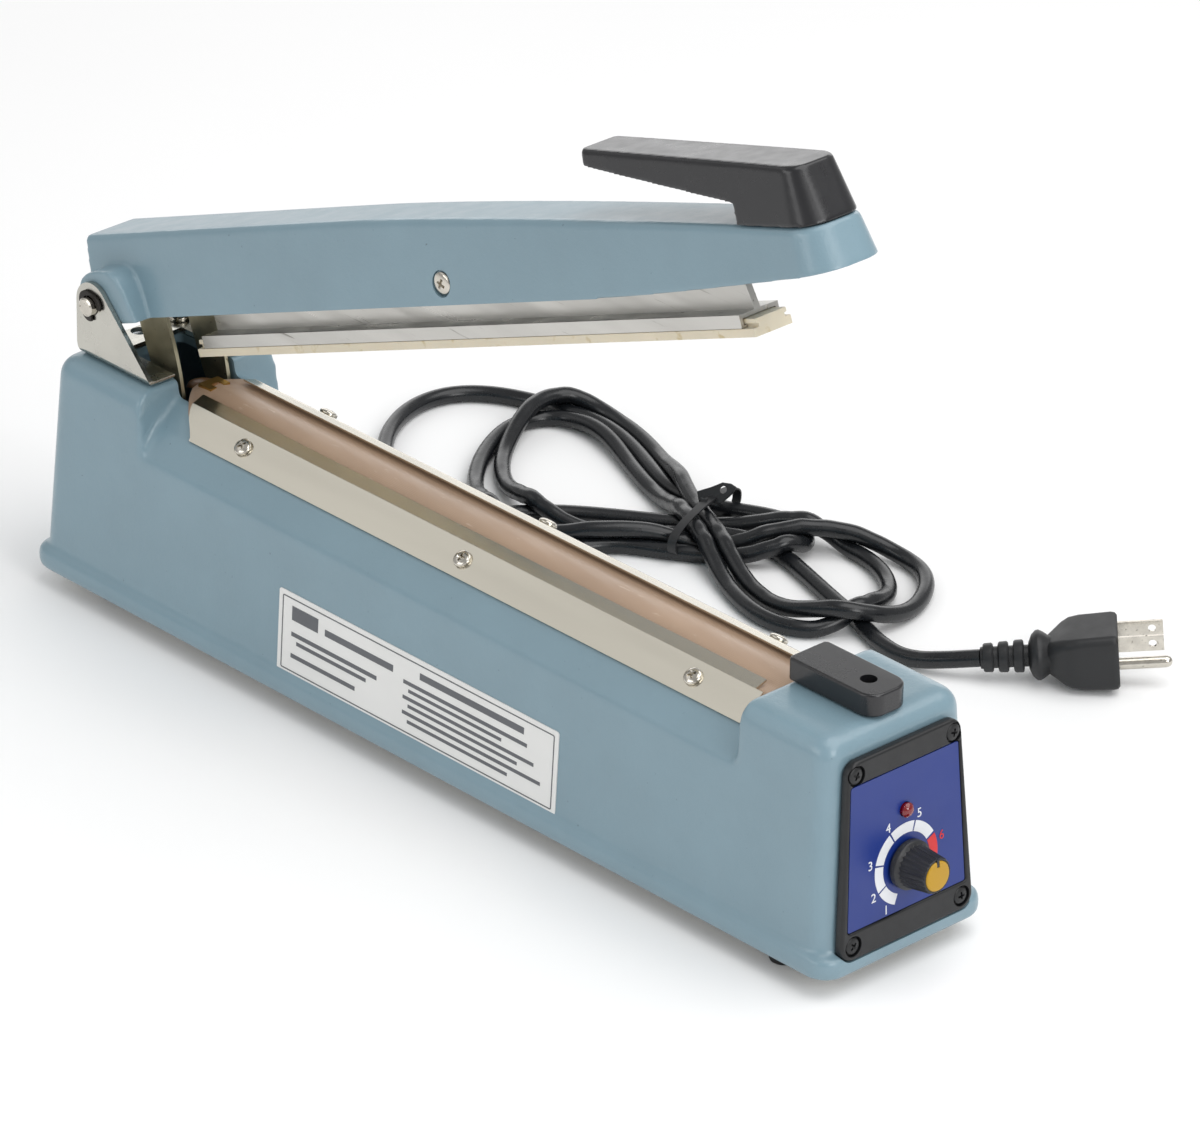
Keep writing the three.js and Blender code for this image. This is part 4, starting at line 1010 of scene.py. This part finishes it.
def cloth_height(y):
    """Top of the cloth: crowned over the bed, nearly level beside it, then down under the plate."""
    crown_foot, crown_rise = 94.95, 1.95
    level_half, level_drop, side_fall = 15.2, 0.35, 0.69
    y = abs(y)
    if y < CROWN_HALF:
        return crown_foot + crown_rise * math.cos(math.pi * y / (2 * CROWN_HALF))
    if y < level_half:
        return crown_foot - level_drop * (y - CROWN_HALF) / (level_half - CROWN_HALF)
    return crown_foot - level_drop - side_fall * (y - level_half)


def add_cloth():
    """Cloth stretched over the bed, a little puckered, and tapered at its rear end."""
    columns, reach, thick = 44, 21.5, 0.22
    taper_end, tapered_share = 73, 0.62
    stations = [58, 60, 62, 64, 66, 68, 70, 74] + [78 + 6.02 * i for i in range(53)]
    rings = []
    for x, following in zip(stations, stations[1:] + stations[-1:]):
        tapered = x <= taper_end
        half = 6 + (reach - 6) * ((x - 57.8) / 15.2) ** 0.85 if tapered else reach
        droop = 0.01 * max(68 - x, 0) ** 2
        row = []
        for k in range(columns + 1):
            y = half * (2 * k / columns - 1)
            pucker = 0.07 * math.sin(x * 0.19 + y) + 0.05 * math.sin(x * 0.053 + 2)
            crown = math.cos(min(abs(y) / CROWN_HALF, 1) * math.pi / 2)
            row.append((x, y, cloth_height(y) - droop + pucker * crown))
        rings.append(row + [(x, y, z - thick) for x, y, z in reversed(row)])
    cloth = loft("glass_cloth", rings)
    settle(cloth, CLOTH, "ptfe_cloth", "base", ["ptfe_cloth"], smooth_angle=50)


def add_tape():
    """Brown tape over the cloth's rear end and the terminal behind it."""
    rings = []
    for x, w, z in (
        (49, 2.2, 92.6), (51, 3.6, 94.2), (54, 4.6, 95.4), (57, 5.1, 96.2), (60, 5.2, 96.7),
        (63, 5.1, 97), (66, 4.8, 97.15),
    ):
        over = [(-w, -2.6), (-w * 0.8, -0.9), (-w * 0.4, 0), (w * 0.4, 0.05), (w * 0.8, -0.8), (w, -2.4)]
        under = [(w * 0.9, -2.9), (w * 0.5, -0.9), (0, -0.5), (-w * 0.5, -0.9), (-w * 0.9, -3)]
        rings.append([(x, y, z + rise) for y, rise in over + under])
    tape = loft("terminal_tape", rings)
    smooth = tape.modifiers.new("smooth", "SUBSURF")
    smooth.levels = 2
    apply_modifiers(tape)
    settle(tape, TAPE, "ptfe_cloth", "base")


def add_terminal_cover():
    front, half, corner, screw_x = 437.4, 10, 6.7, 425.5
    outline = [
        *arc(front - corner, half - corner, corner, 0, 90, 10),
        (395, half), (393.6, 8.6), (393.6, -8.6), (395, -half),
        *arc(front - corner, -half + corner, corner, 270, 360, 10),
    ]
    cover = bevel(prism("front_terminal_cover", "z", outline, (HOUSING_TOP + GAP, 110.6)), 1.3, 4, 40)
    cut(cover, rod("bore", "z", 3.25, (104, 120), 40, (screw_x, 0, 0)))
    settle(cover, HANDLE_PLASTIC, "black_plastic", "base", ["terminal_cover"], smooth_angle=40)
    screw = shift(pan_screw("cover_screw", 2.8, 1.8, 1.5, 8, flat=True), screw_x, 0, 104.2)
    settle(screw, SCREW_STEEL, "zinc", "base", ["terminal_cover_screw"])


# ---- control panel, made with X out of the panel and Z up along it -----------------------------

def clock(radius, degrees):
    """Point on the panel at a clock angle from the top, as seen from the front."""
    angle = math.radians(degrees)
    return radius * math.sin(angle), KNOB_V + radius * math.cos(angle)


def dial_segment(name, start, end):
    """Printed part of the dial's ring, between two clock angles."""
    steps = 10
    turns = [start + (end - start) * i / steps for i in range(steps + 1)]
    outline = [clock(16.2, t) for t in turns] + [clock(12, t) for t in reversed(turns)]
    return prism(name, "x", outline, (-0.75, -0.46))


def dial_number(digit, degrees):
    letters = bpy.data.curves.new("digit", "FONT")
    letters.body = str(digit)
    letters.size = 5.2
    letters.extrude = 0.12
    letters.align_x = "CENTER"
    letters.align_y = "CENTER"
    flat = bpy.data.objects.new("digit", letters)
    bpy.context.scene.collection.objects.link(flat)
    graph = bpy.context.evaluated_depsgraph_get()
    mesh = bpy.data.meshes.new_from_object(flat.evaluated_get(graph))
    bpy.data.objects.remove(flat)
    number = bpy.data.objects.new(f"dial_number_{digit}", mesh)
    bpy.context.scene.collection.objects.link(number)
    y, z = clock(19, degrees)
    upright = Matrix(((0, 0, 1, -0.58), (1, 0, 0, y), (0, 1, 0, z), (0, 0, 0, 1)))
    return move(number, upright)


def settle_on_panel(obj, *facts, **more):
    return settle(move(obj, onto_panel()), *facts, **more)


def add_panel():
    bezel = prism("panel_bezel", "x", trapezoid(-2, 77.2, 34, 29.2, 6, 10), (-BEZEL_THICK, 0))
    bevel(bezel, 1.3, 4, 50)
    window = loft("window", [
        [(x, y, z) for y, z in trapezoid(9.3 - grow, 67.6 + grow, 30.5 + grow, 27.8 + grow, 1.2 + grow, 6)]
        for x, grow in ((-10, 0), (-0.9, 0), (-0.4, 0.25), (0, 0.8), (2, 0.8))
    ])
    cut(bezel, window)
    places = {
        "top_near": (-25, 71.7), "top_far": (25, 71.7), "bottom_near": (-28, 3.9), "bottom_far": (28, 3.9),
    }
    well_profile = [(0, -6), (1.7, -6), (1.7, -1.6), (4, -1.6), (4, -0.5), (4.7, 2), (0, 2)]
    for y, z in places.values():
        cut(bezel, shift(turned("well", well_profile, "x", 32), 0, y, z))
    settle_on_panel(bezel, BLACK_PLASTIC, "black_plastic", "base", ["control_bezel"], smooth_angle=40)
    face_out = Matrix.Rotation(math.pi / 2, 4, "Y")
    for where, (y, z) in places.items():
        screw = pan_screw(f"panel_screw_{where}", 3.4, 1.6, 1.4, 2.5, turn=y * 0.1)
        move(screw, Matrix.Translation((-1.45, y, z)) @ face_out)
        settle_on_panel(screw, BLACK_PLASTIC, "black_plastic", "base", [f"bezel_screw_{where}"])

    plate = prism("dial_plate", "x", trapezoid(9.6, 67.3, 30.2, 27.5, 0.9), (-BEZEL_THICK + GAP, -0.6))
    for radius, z in ((5.4, KNOB_V), (2.9, LAMP_V)):
        cut(plate, rod("hole", "x", radius, (-10, 10), place=(0, 0, z)))
    settle_on_panel(plate, PANEL_BLUE, "panel_blue", "base", ["control_panel"])
    spans = {
        "white": ((203, 240), (243, 282), (285, 329), (332, 376), (379, 421)),
        "red": ((425, 466), (469, 512)),
    }
    for color, ink in (("white", PRINT_WHITE), ("red", PRINT_RED)):
        for i, (start, end) in enumerate(spans[color]):
            settle_on_panel(dial_segment(f"dial_{color}_{i + 1}", start, end), ink, "panel_blue", "base")
    for digit, degrees in ((1, 214), (2, 243), (3, 285), (4, 332), (5, 22), (6, 76)):
        ink = PRINT_RED if digit == 6 else PRINT_WHITE
        settle_on_panel(dial_number(digit, degrees), ink, "panel_blue", "base")

    dome = [(2.9, 0.3), (2.9, 0.8), (2.5, 1.2), (1.9, 1.9), (1.1, 2.3), (0, 2.4)]
    lamp = shift(turned("lamp_lens", [(0, -9), (2.5, -9), (2.5, 0.2), *dome], "x", 24), 0, 0, LAMP_V)
    settle_on_panel(lamp, LAMP_RED, "lamp_red", "base", ["indicator_lens"])


def add_knob():
    """Fluted knob on the timer's shaft, with its cap and pointer mark."""
    flutes, points = 24, 144

    def fluted(x, radius, depth):
        ring = []
        for i in range(points):
            angle = 2 * math.pi * i / points
            r = radius - depth * (0.5 - 0.5 * math.cos(angle * flutes)) ** 0.6
            ring.append((x, r * math.cos(angle), r * math.sin(angle)))
        return ring

    knob = loft("dial_knob", [
        fluted(x, radius, depth) for x, radius, depth in (
            (0.3, 9.2, 0), (0.6, 9.6, 0), (2.8, 9.6, 0), (3.3, 9.2, 0), (3.6, 8.4, 0), (4, 8.3, 0.5),
            (14.6, 7.15, 0.5), (15.2, 6.9, 0.2), (15.4, 6.6, 0),
        )
    ])
    cut(knob, rod("cap_seat", "x", 6.1, (14.4, 20)), rod("bore", "x", 3.15, (-1, 12)))
    settle_on_panel(shift(knob, 0, 0, KNOB_V), KNOB_PLASTIC, "black_plastic", "timer_dial", ["timer_knob"])
    cap = turned("dial_cap", [(0, 14.5), (5.9, 14.5), (5.9, 15.5), (5.6, 15.85), (5, 16), (0, 16.1)], "x", 48)
    cut(cap, box("notch", (15.3, 17), (-0.7, 0.7), (3.6, 7)))
    settle_on_panel(shift(cap, 0, 0, KNOB_V), CAP_YELLOW, "cap_yellow", "timer_dial", ["knob_cap"])
    mark = bevel(box("pointer_mark", (15.2, 15.95), (-0.62, 0.62), (3.7, 6.7)), 0.12, 2)
    settle_on_panel(shift(mark, 0, 0, KNOB_V), KNOB_PLASTIC, "black_plastic", "timer_dial")


# ---- rear hinge -------------------------------------------------------------------------------

def add_hinge():
    low = HOUSING_TOP + GAP
    outside = EAR_INSIDE + EAR_THICK
    bolt_x, bolt_y = 20.5, 19
    bent = [
        (-outside, 140), *arc(-outside + 3.2, low + 3.2, 3.2, 180, 270, 8),
        *arc(outside - 3.2, low + 3.2, 3.2, 270, 360, 8), (outside, 140),
        (EAR_INSIDE, 140), *arc(EAR_INSIDE - 1.2, low + 3.2, 1.2, 0, -90, 5),
        *arc(-EAR_INSIDE + 1.2, low + 3.2, 1.2, 270, 180, 5), (-EAR_INSIDE, 140),
    ]
    bracket = prism("hinge_ears", "x", bent, (10, 60))
    profile = [
        (15, low), *arc(56, low + 1.4, 1.4, 270, 410, 5), *arc(HINGE.x, HINGE.z, 9.2, 42, 180, 16),
        (13.8, low + 5),
    ]
    keep_common(bracket, prism("side_profile", "y", profile, (-50, 50)))
    cut(
        bracket, box("web_cutout", (27, 70), (-14.8, 14.8), (low - 5, low + 5)),
        rod("web_hole", "z", 3.5, (90, 120), 32, (18.5, 0, 0)),
        rod("pin_bore", "y", PIN_RADIUS + 0.15, (-50, 50), 40, HINGE),
        rod("bolt_hole", "z", 2.3, (90, 120), 20, (bolt_x, -bolt_y, 0)),
        rod("bolt_hole", "z", 2.3, (90, 120), 20, (bolt_x, bolt_y, 0)),
    )
    bevel(bracket, 0.3, 2, 35)
    settle(bracket, ZINC, "zinc", "base", ["hinge_bracket"])

    for name, side in (("near", -1), ("far", 1)):
        bolt = pan_screw(f"hinge_bolt_{name}", 4.2, 2.8, 1.9, 9, turn=side)
        shift(bolt, bolt_x, side * bolt_y, low + 2 + GAP)
        settle(bolt, SCREW_STEEL, "zinc", "base", [f"bracket_bolt_{name}"])
        clip_outline = []
        for i in range(49):
            angle = math.radians(38 + 284 * i / 48)
            radius = 6.2 + 0.5 * math.cos(3 * (angle - math.pi))
            clip_outline.append((radius * math.cos(angle), radius * math.sin(angle)))
        clip_outline += arc(0, 0, 4.25, 322, 38, 32)
        start = side * (outside + GAP)
        clip = prism(f"pin_clip_{name}", "y", clip_outline, sorted((start, start + side)))
        bevel(clip, 0.15, 2, 40)
        move(clip, Matrix.Translation(HINGE) @ Matrix.Rotation(0.7, 4, "Y"))
        settle(clip, DARK_STEEL, "dark_steel", "base", [f"retaining_ring_{name}"])
    far_end = [(PIN_RADIUS - 0.15, 28.4), (PIN_RADIUS - 0.15, 31.1), (3.2, 31.6), (0, 31.6)]
    near_end = [(radius, -y) for radius, y in reversed(far_end)]
    pin = shift(turned("pivot_pin", near_end + far_end, "y", 40), *HINGE)
    settle(pin, SCREW_STEEL, "zinc", "base", ["hinge_pin"])


# ---- pressing arm, modelled with the jaws shut ------------------------------------------------

def arm_half(z):
    """Half width of the arm at a height."""
    return ARM_HALF_AT_TOP + (ARM_TOP - z) * ARM_DRAFT


def arm_top(x):
    """Top of the arm: level at the rear, then falling towards the nose."""
    fall_start, fall = 170, 12.6
    return ARM_TOP - fall * max((x - fall_start) / (NOSE_X_LOW - fall_start), 0) ** 1.55


def arm_bottom(x):
    """Bottom edge of the arm, which rises a little towards the nose."""
    rise_start, rise = 320, 5
    return ARM_BOTTOM + rise * max((x - rise_start) / (NOSE_X_LOW - rise_start), 0) ** 1.3


def beam_point(station, z, inset):
    """Where the beam's far side is at a station and height, as x and half width."""
    if "nose" not in station:
        return station["x"], arm_half(z) - inset - station.get("pinch", 0)
    radius = 7 + (159 - z) * 0.2
    angle = math.radians(station["nose"])
    tip = NOSE_X_LOW - (z - NOSE_LOW_Z) * NOSE_RAKE
    return (
        tip - inset - radius + radius * math.sin(angle),
        arm_half(z) - inset - radius * (1 - math.cos(angle)),
    )


# Stations round the arm's nose, by their angle from the side to the tip.
NOSE = [{"nose": 90 * i / 12} for i in range(13)]


def beam(name, stations, bottom_at, top_at, inset, corner, steps=6):
    """Arm-shaped block through stations along x and round the nose, with rounded top edges."""
    middle_height = 140
    rings = []
    for station in stations:
        nominal = beam_point(station, middle_height, inset)[0]
        bottom = station.get("bottom", bottom_at(nominal))
        top = top_at(nominal)
        profile = [(0, bottom), (0, bottom + 0.5 * (top - bottom - corner))]
        for i in range(steps + 1):
            angle = math.radians(90 * i / steps)
            profile.append((corner * (1 - math.cos(angle)), top - corner + corner * math.sin(angle)))
        far = []
        for fold, z in profile:
            x, half = beam_point(station, z, inset)
            far.append((x, max(half - fold, 0.4), z))
        rings.append(far + [(x, -y, z) for x, y, z in reversed(far)])
    return loft(name, rings)


def add_arm_casting():
    along = [{"x": x} for x in (
        ARM_REAR_X, 60, 120, *range(160, 301, 20), *range(315, 391, 15), 400, 408,
    )]
    shell = beam("arm_shell", [*along, *NOSE], arm_bottom, arm_top, 0, 2.6)
    lug = [
        (14, ARM_BOTTOM), (45, ARM_BOTTOM), (42.5, 126), (39.8, 132.5), (36, 136.4), (31, 137.6),
        (22, 137.2), (16, 134), (13.4, 127),
    ]
    lugs = prism("lugs", "y", smooth_closed(lug), (-EAR_INSIDE + GAP, EAR_INSIDE - GAP))
    soften(join(shell, lugs), 0.7, 3)
    wall = 3.2
    inside = [{"x": x} for x in (ARM_REAR_X + wall, 60, 170, 210, 250, 290, 320, 350, 380, 408)]
    hollow = beam("arm_hollow", [*inside, *NOSE], lambda x: 100, lambda x: arm_top(x) - wall, wall, 2, 3)
    cut(
        shell, hollow,
        rod("pin_bore", "y", PIN_RADIUS + 0.1, (-50, 50), 40, HINGE),
        rod("screw_hole", "y", 2.8, (-50, 50), 24, PIVOT),
        rod("screw_recess", "y", 5.2, (-50, PIVOT_RECESS - arm_half(PIVOT.z)), 40, PIVOT),
    )
    settle(shell, PAINT, "paint", "arm", ["arm_casting"], opened=True, smooth_angle=40)


def add_handle():
    """Handle whose block sits on the arm's front end, with its grip reaching back clear of the arm."""
    def seat(x):
        return arm_top(x) + GAP

    def underside(x):
        return 163.9 - (x - 318) * 0.204

    grip = [
        {"x": x, "pinch": pinch, "bottom": underside(x) + 0.5 * pinch}
        for x, pinch in ((315.4, 1.6), (315.9, 0.8), (317, 0.2), (330, 0), (360, 0), (SEAM_X - 0.8, 0))
    ]
    block = [{"x": x, "bottom": seat(x)} for x in (SEAM_X, 408)]
    stations = [*grip, *block, *NOSE]
    handle = beam("grip_handle", stations, seat, lambda x: 170.6 - (x - 316) * 0.098, 0.15, 1.8)
    soften(handle, 0.6, 3)
    settle(handle, HANDLE_PLASTIC, "black_plastic", "arm", ["arm_handle"], opened=True, smooth_angle=40)


def add_linkage():
    front = smooth_line([(46, 131), (47.5, 112), (47, 95), (45, 82), (42.8, 73)], 4)
    outline = [(30, 131.6), (30, 112), (31, 86), (34, 72), *arc(39, 71.5, 4.6, 200, 340, 8)]
    outline += [tuple(p) for p in reversed(front)][1:]
    cheeks = [prism("linkage", "y", outline, span) for span in ((-12.5, -10.9), (10.9, 12.5))]
    linkage = join(cheeks[0], cheeks[1], box("bridge", (30, 46), (-11.7, 11.7), (130, 131.6)))
    bevel(linkage, 0.25, 2, 40)
    join(linkage, rod("link_pin", "y", 2, (-13.6, 13.6), 24, LINK_PIN))
    linkage.name = "link_plates"
    settle(linkage, YELLOW_ZINC, "yellow_zinc", "arm", ["linkage_bracket"], opened=True)


def tube(name, line, radius):
    """Round wire along a line of points."""
    sides = 12
    line = [Vector(p) for p in line]
    rings = []
    side = Vector((0, 1, 0))
    for i, point in enumerate(line):
        ahead = (line[min(i + 1, len(line) - 1)] - line[max(i - 1, 0)]).normalized()
        side = (side - ahead * side.dot(ahead)).normalized()
        other = ahead.cross(side)
        rings.append([
            tuple(point + radius * (math.cos(a) * side + math.sin(a) * other))
            for a in (2 * math.pi * k / sides for k in range(sides))
        ])
    return loft(name, rings)


def add_return_spring():
    """Extension spring with the arm up, from the linkage's cross pin to its post, hooked at both ends."""
    wire_radius, coil_radius, turns, steps = 0.8, 4.2, 22, 440
    narrowed_share = 0.2
    pin_hook, post_hook = 3, 3.8
    pin = TURN_OPEN @ LINK_PIN
    heading = (SPRING_ANCHOR - pin).normalized()
    across = Vector((-heading.z, 0, heading.x))
    start, end = pin + pin_hook * heading, SPRING_ANCHOR - post_hook * heading
    helix = []
    for i in range(steps + 1):
        t = i / steps
        angle = 2 * math.pi * turns * t
        ease = min(min(t, 1 - t) / narrowed_share, 1)
        radius = coil_radius * ease * ease * (3 - 2 * ease)
        spot = start.lerp(end, t) + across * radius * math.cos(angle)
        helix.append(spot + Vector((0, radius * math.sin(angle), 0)))
    spring = tube("lift_spring", helix, wire_radius)
    for centre, reach in ((pin, pin_hook), (SPRING_ANCHOR, -post_hook)):
        hook = [centre + heading * a + across * b for a, b in arc(0, 0, reach, 360, 100, 20)]
        join(spring, tube("hook", hook, wire_radius))
    move(spring, TO_FRAME)
    spring.data.materials.clear()
    spring.data.materials.append(SCREW_STEEL)
    shade(spring, 40)
    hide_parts("return_spring")
    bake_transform(spring)


def add_press_bar():
    half = [
        (6.9, BAR_LOW), (BAR_HALF, BAR_LOW), (BAR_HALF, BAR_HIGH), (WEB_HALF, BAR_HIGH), (WEB_HALF, 129),
    ]
    groove = [(8.2, BAR_LOW + 3.3), (8.2, BAR_LOW + 0.9), (6.9, BAR_LOW + 0.9)]
    section = [*half, *mirrored(half), *mirrored(groove), *groove]
    bar = prism("pressing_channel", "x", section, BAR_X)
    front = BAR_X[1]
    cut_back = [(374, 140), (400, 140), (400, 95), (front + 0.2, 95), (front - 0.3, BAR_HIGH)]
    slant = prism("slant", "y", cut_back, (-4, 4))
    cut(bar, slant, rod("pivot_hole", "y", 2.9, (-20, 20), 24, PIVOT))
    bevel(bar, 0.2, 2, 40)
    settle(bar, ALUMINIUM, "aluminium", "pressing_bar", ["press_bar"], opened=True)

    side = [(9.2, STRIP_BOTTOM), (9.2, 100.5), (6.5, 100.6), (6.5, 101.9), (7.7, 102), (7.7, 103.8)]
    strip = prism("silicone_jaw", "x", [*side, *mirrored(side)], STRIP_X)
    bevel(strip, 0.25, 2, 40)
    settle(strip, SILICONE, "silicone", "pressing_bar", ["silicone_strip"], opened=True, smooth_angle=40)

    seat = arm_half(PIVOT.z) - PIVOT_RECESS + GAP
    screw = pan_screw("pivot_screw", 4.5, 1.9, 2.5, 2 * seat + 2, turn=0.5)
    move(screw, Matrix.Translation((PIVOT.x, -seat, PIVOT.z)) @ Matrix.Rotation(math.pi / 2, 4, "X"))
    settle(screw, SCREW_STEEL, "zinc", "arm", ["press_bar_screw"], opened=True)


# ---- rating label, with bars in place of its printing ------------------------------------------

def on_wall(obj):
    """Puts a piece made round the origin on the near wall, at the label's middle."""
    x, z = 224.6, 34.7
    lean = math.atan((WALL_HALF_LOW - WALL_HALF_CREASE) / (CREASE_Z - WALL_START_Z))
    return move(obj, Matrix.Translation((x, -wall_half(z), z)) @ Matrix.Rotation(-lean, 4, "X"))


def add_label():
    film = prism("label_film", "y", plan(-78.7, 78.7, 17.6, 1.2, 5), (-0.4, 0.15))
    settle(on_wall(film), LABEL_FILM, "label", "base", ["rating_label"])

    border = prism("label_border", "y", plan(-76.6, 76.6, 15.6, 0.8, 4), (-0.5, 0))
    cut(border, prism("inside", "y", plan(-76.1, 76.1, 15.1, 0.5, 4), (-3, 3)))
    settle(on_wall(border), PRINT_GREY, "label", "base")
    bars = [
        (-71, -56, 6.4, 12.4), (-52, -13, 6.8, 9.6), (-71, -22, -0.4, 1.4), (-68, -28, -3.6, -2),
        (-71, -34, -9.6, -7.8), (2, 60, 9.4, 12.2), (-7, 62, 4.6, 6.2), (-4, 48, 1.6, 3),
        (-7, 66, -1.8, -0.3), (-4, 57, -4.8, -3.4), (-7, 70, -8.2, -6.7), (-4, 52, -11.4, -10),
    ]
    for i, (x0, x1, z0, z1) in enumerate(bars):
        bar = prism(f"label_bar_{i + 1}", "y", [(x0, z0), (x1, z0), (x1, z1), (x0, z1)], (-0.5, 0))
        settle(on_wall(bar), PRINT_GREY, "label", "base")


# ---- CAD nodes that keep their shape ------------------------------------------------------------

def finish_cad_nodes():
    finishes = {
        "base_plate": ZINC, "element_bed": PHENOLIC, "heating_ribbon": STAINLESS, "terminal_front": BRASS,
        "terminal_rear": BRASS, "transformer_core": LAMINATIONS, "transformer_winding": COPPER,
        "timer_board": BOARD, "timer_potentiometer": ZINC, "potentiometer_shaft": SCREW_STEEL,
        "microswitch_body": BLACK_PLASTIC, "microswitch_lever": STAINLESS,
    }
    for name, material in finishes.items():
        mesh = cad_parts[name].data
        mesh.materials.clear()
        mesh.materials.append(material)


# ---- table and light ----------------------------------------------------------------------------

def add_floor():
    floor = make("pale_floor", [(-9, -9, 0), (9, -9, 0), (9, 9, 0), (-9, 9, 0)], [(0, 1, 2, 3)])
    floor.data.materials.append(surface("floor_paper", linear(252, 252, 252), 0.9, tone=0.01, tone_scale=2))


def add_light(name, place, aim, size, power):
    lamp = bpy.data.lights.new(name, "AREA")
    lamp.shape = "RECTANGLE"
    lamp.size, lamp.size_y = size
    lamp.energy = power
    light = bpy.data.objects.new(name, lamp)
    light.location = place
    light.rotation_euler = (Vector(aim) - Vector(place)).to_track_quat("-Z", "Y").to_euler()
    bpy.context.scene.collection.objects.link(light)


def add_lights():
    world = bpy.data.worlds.new("studio")
    bpy.context.scene.world = world
    world.use_nodes = True
    sky = world.node_tree.nodes["Background"]
    sky.inputs["Color"].default_value = (1, 1, 1, 1)
    sky.inputs["Strength"].default_value = 0.46
    bpy.context.scene.view_settings.view_transform = "Standard"
    add_light("top_softbox", (0.6, 0.4, 1.6), (0, 0.05, 0.05), (1.7, 1.7), 19)
    add_light("back_softbox", (-1.7, 1.7, 0.75), (0, 0, 0.1), (2.6, 1.1), 12)
    add_light("front_softbox", (1.5, -0.2, 0.75), (0, 0, 0.06), (0.7, 0.7), 7)
    add_light("side_softbox", (-0.3, -1.8, 0.9), (0, -0.1, 0.0), (1.6, 0.9), 8.5)
    add_light("plate_softbox", (-1.5, -0.95, 1.6), (0, 0, 0.1), (1.3, 1.2), 2.2)


# ---- everything in place ------------------------------------------------------------------------

plug_pieces = add_plug()
tie_pieces = add_tie(CORD_LINE)
add_strain_relief()
add_body_casting()
add_feet()
add_side_plates()
add_cloth()
add_tape()
add_terminal_cover()
add_panel()
add_knob()
add_hinge()
add_arm_casting()
add_handle()
add_linkage()
add_return_spring()
add_press_bar()
add_label()
finish_cad_nodes()
add_floor()
add_lights()
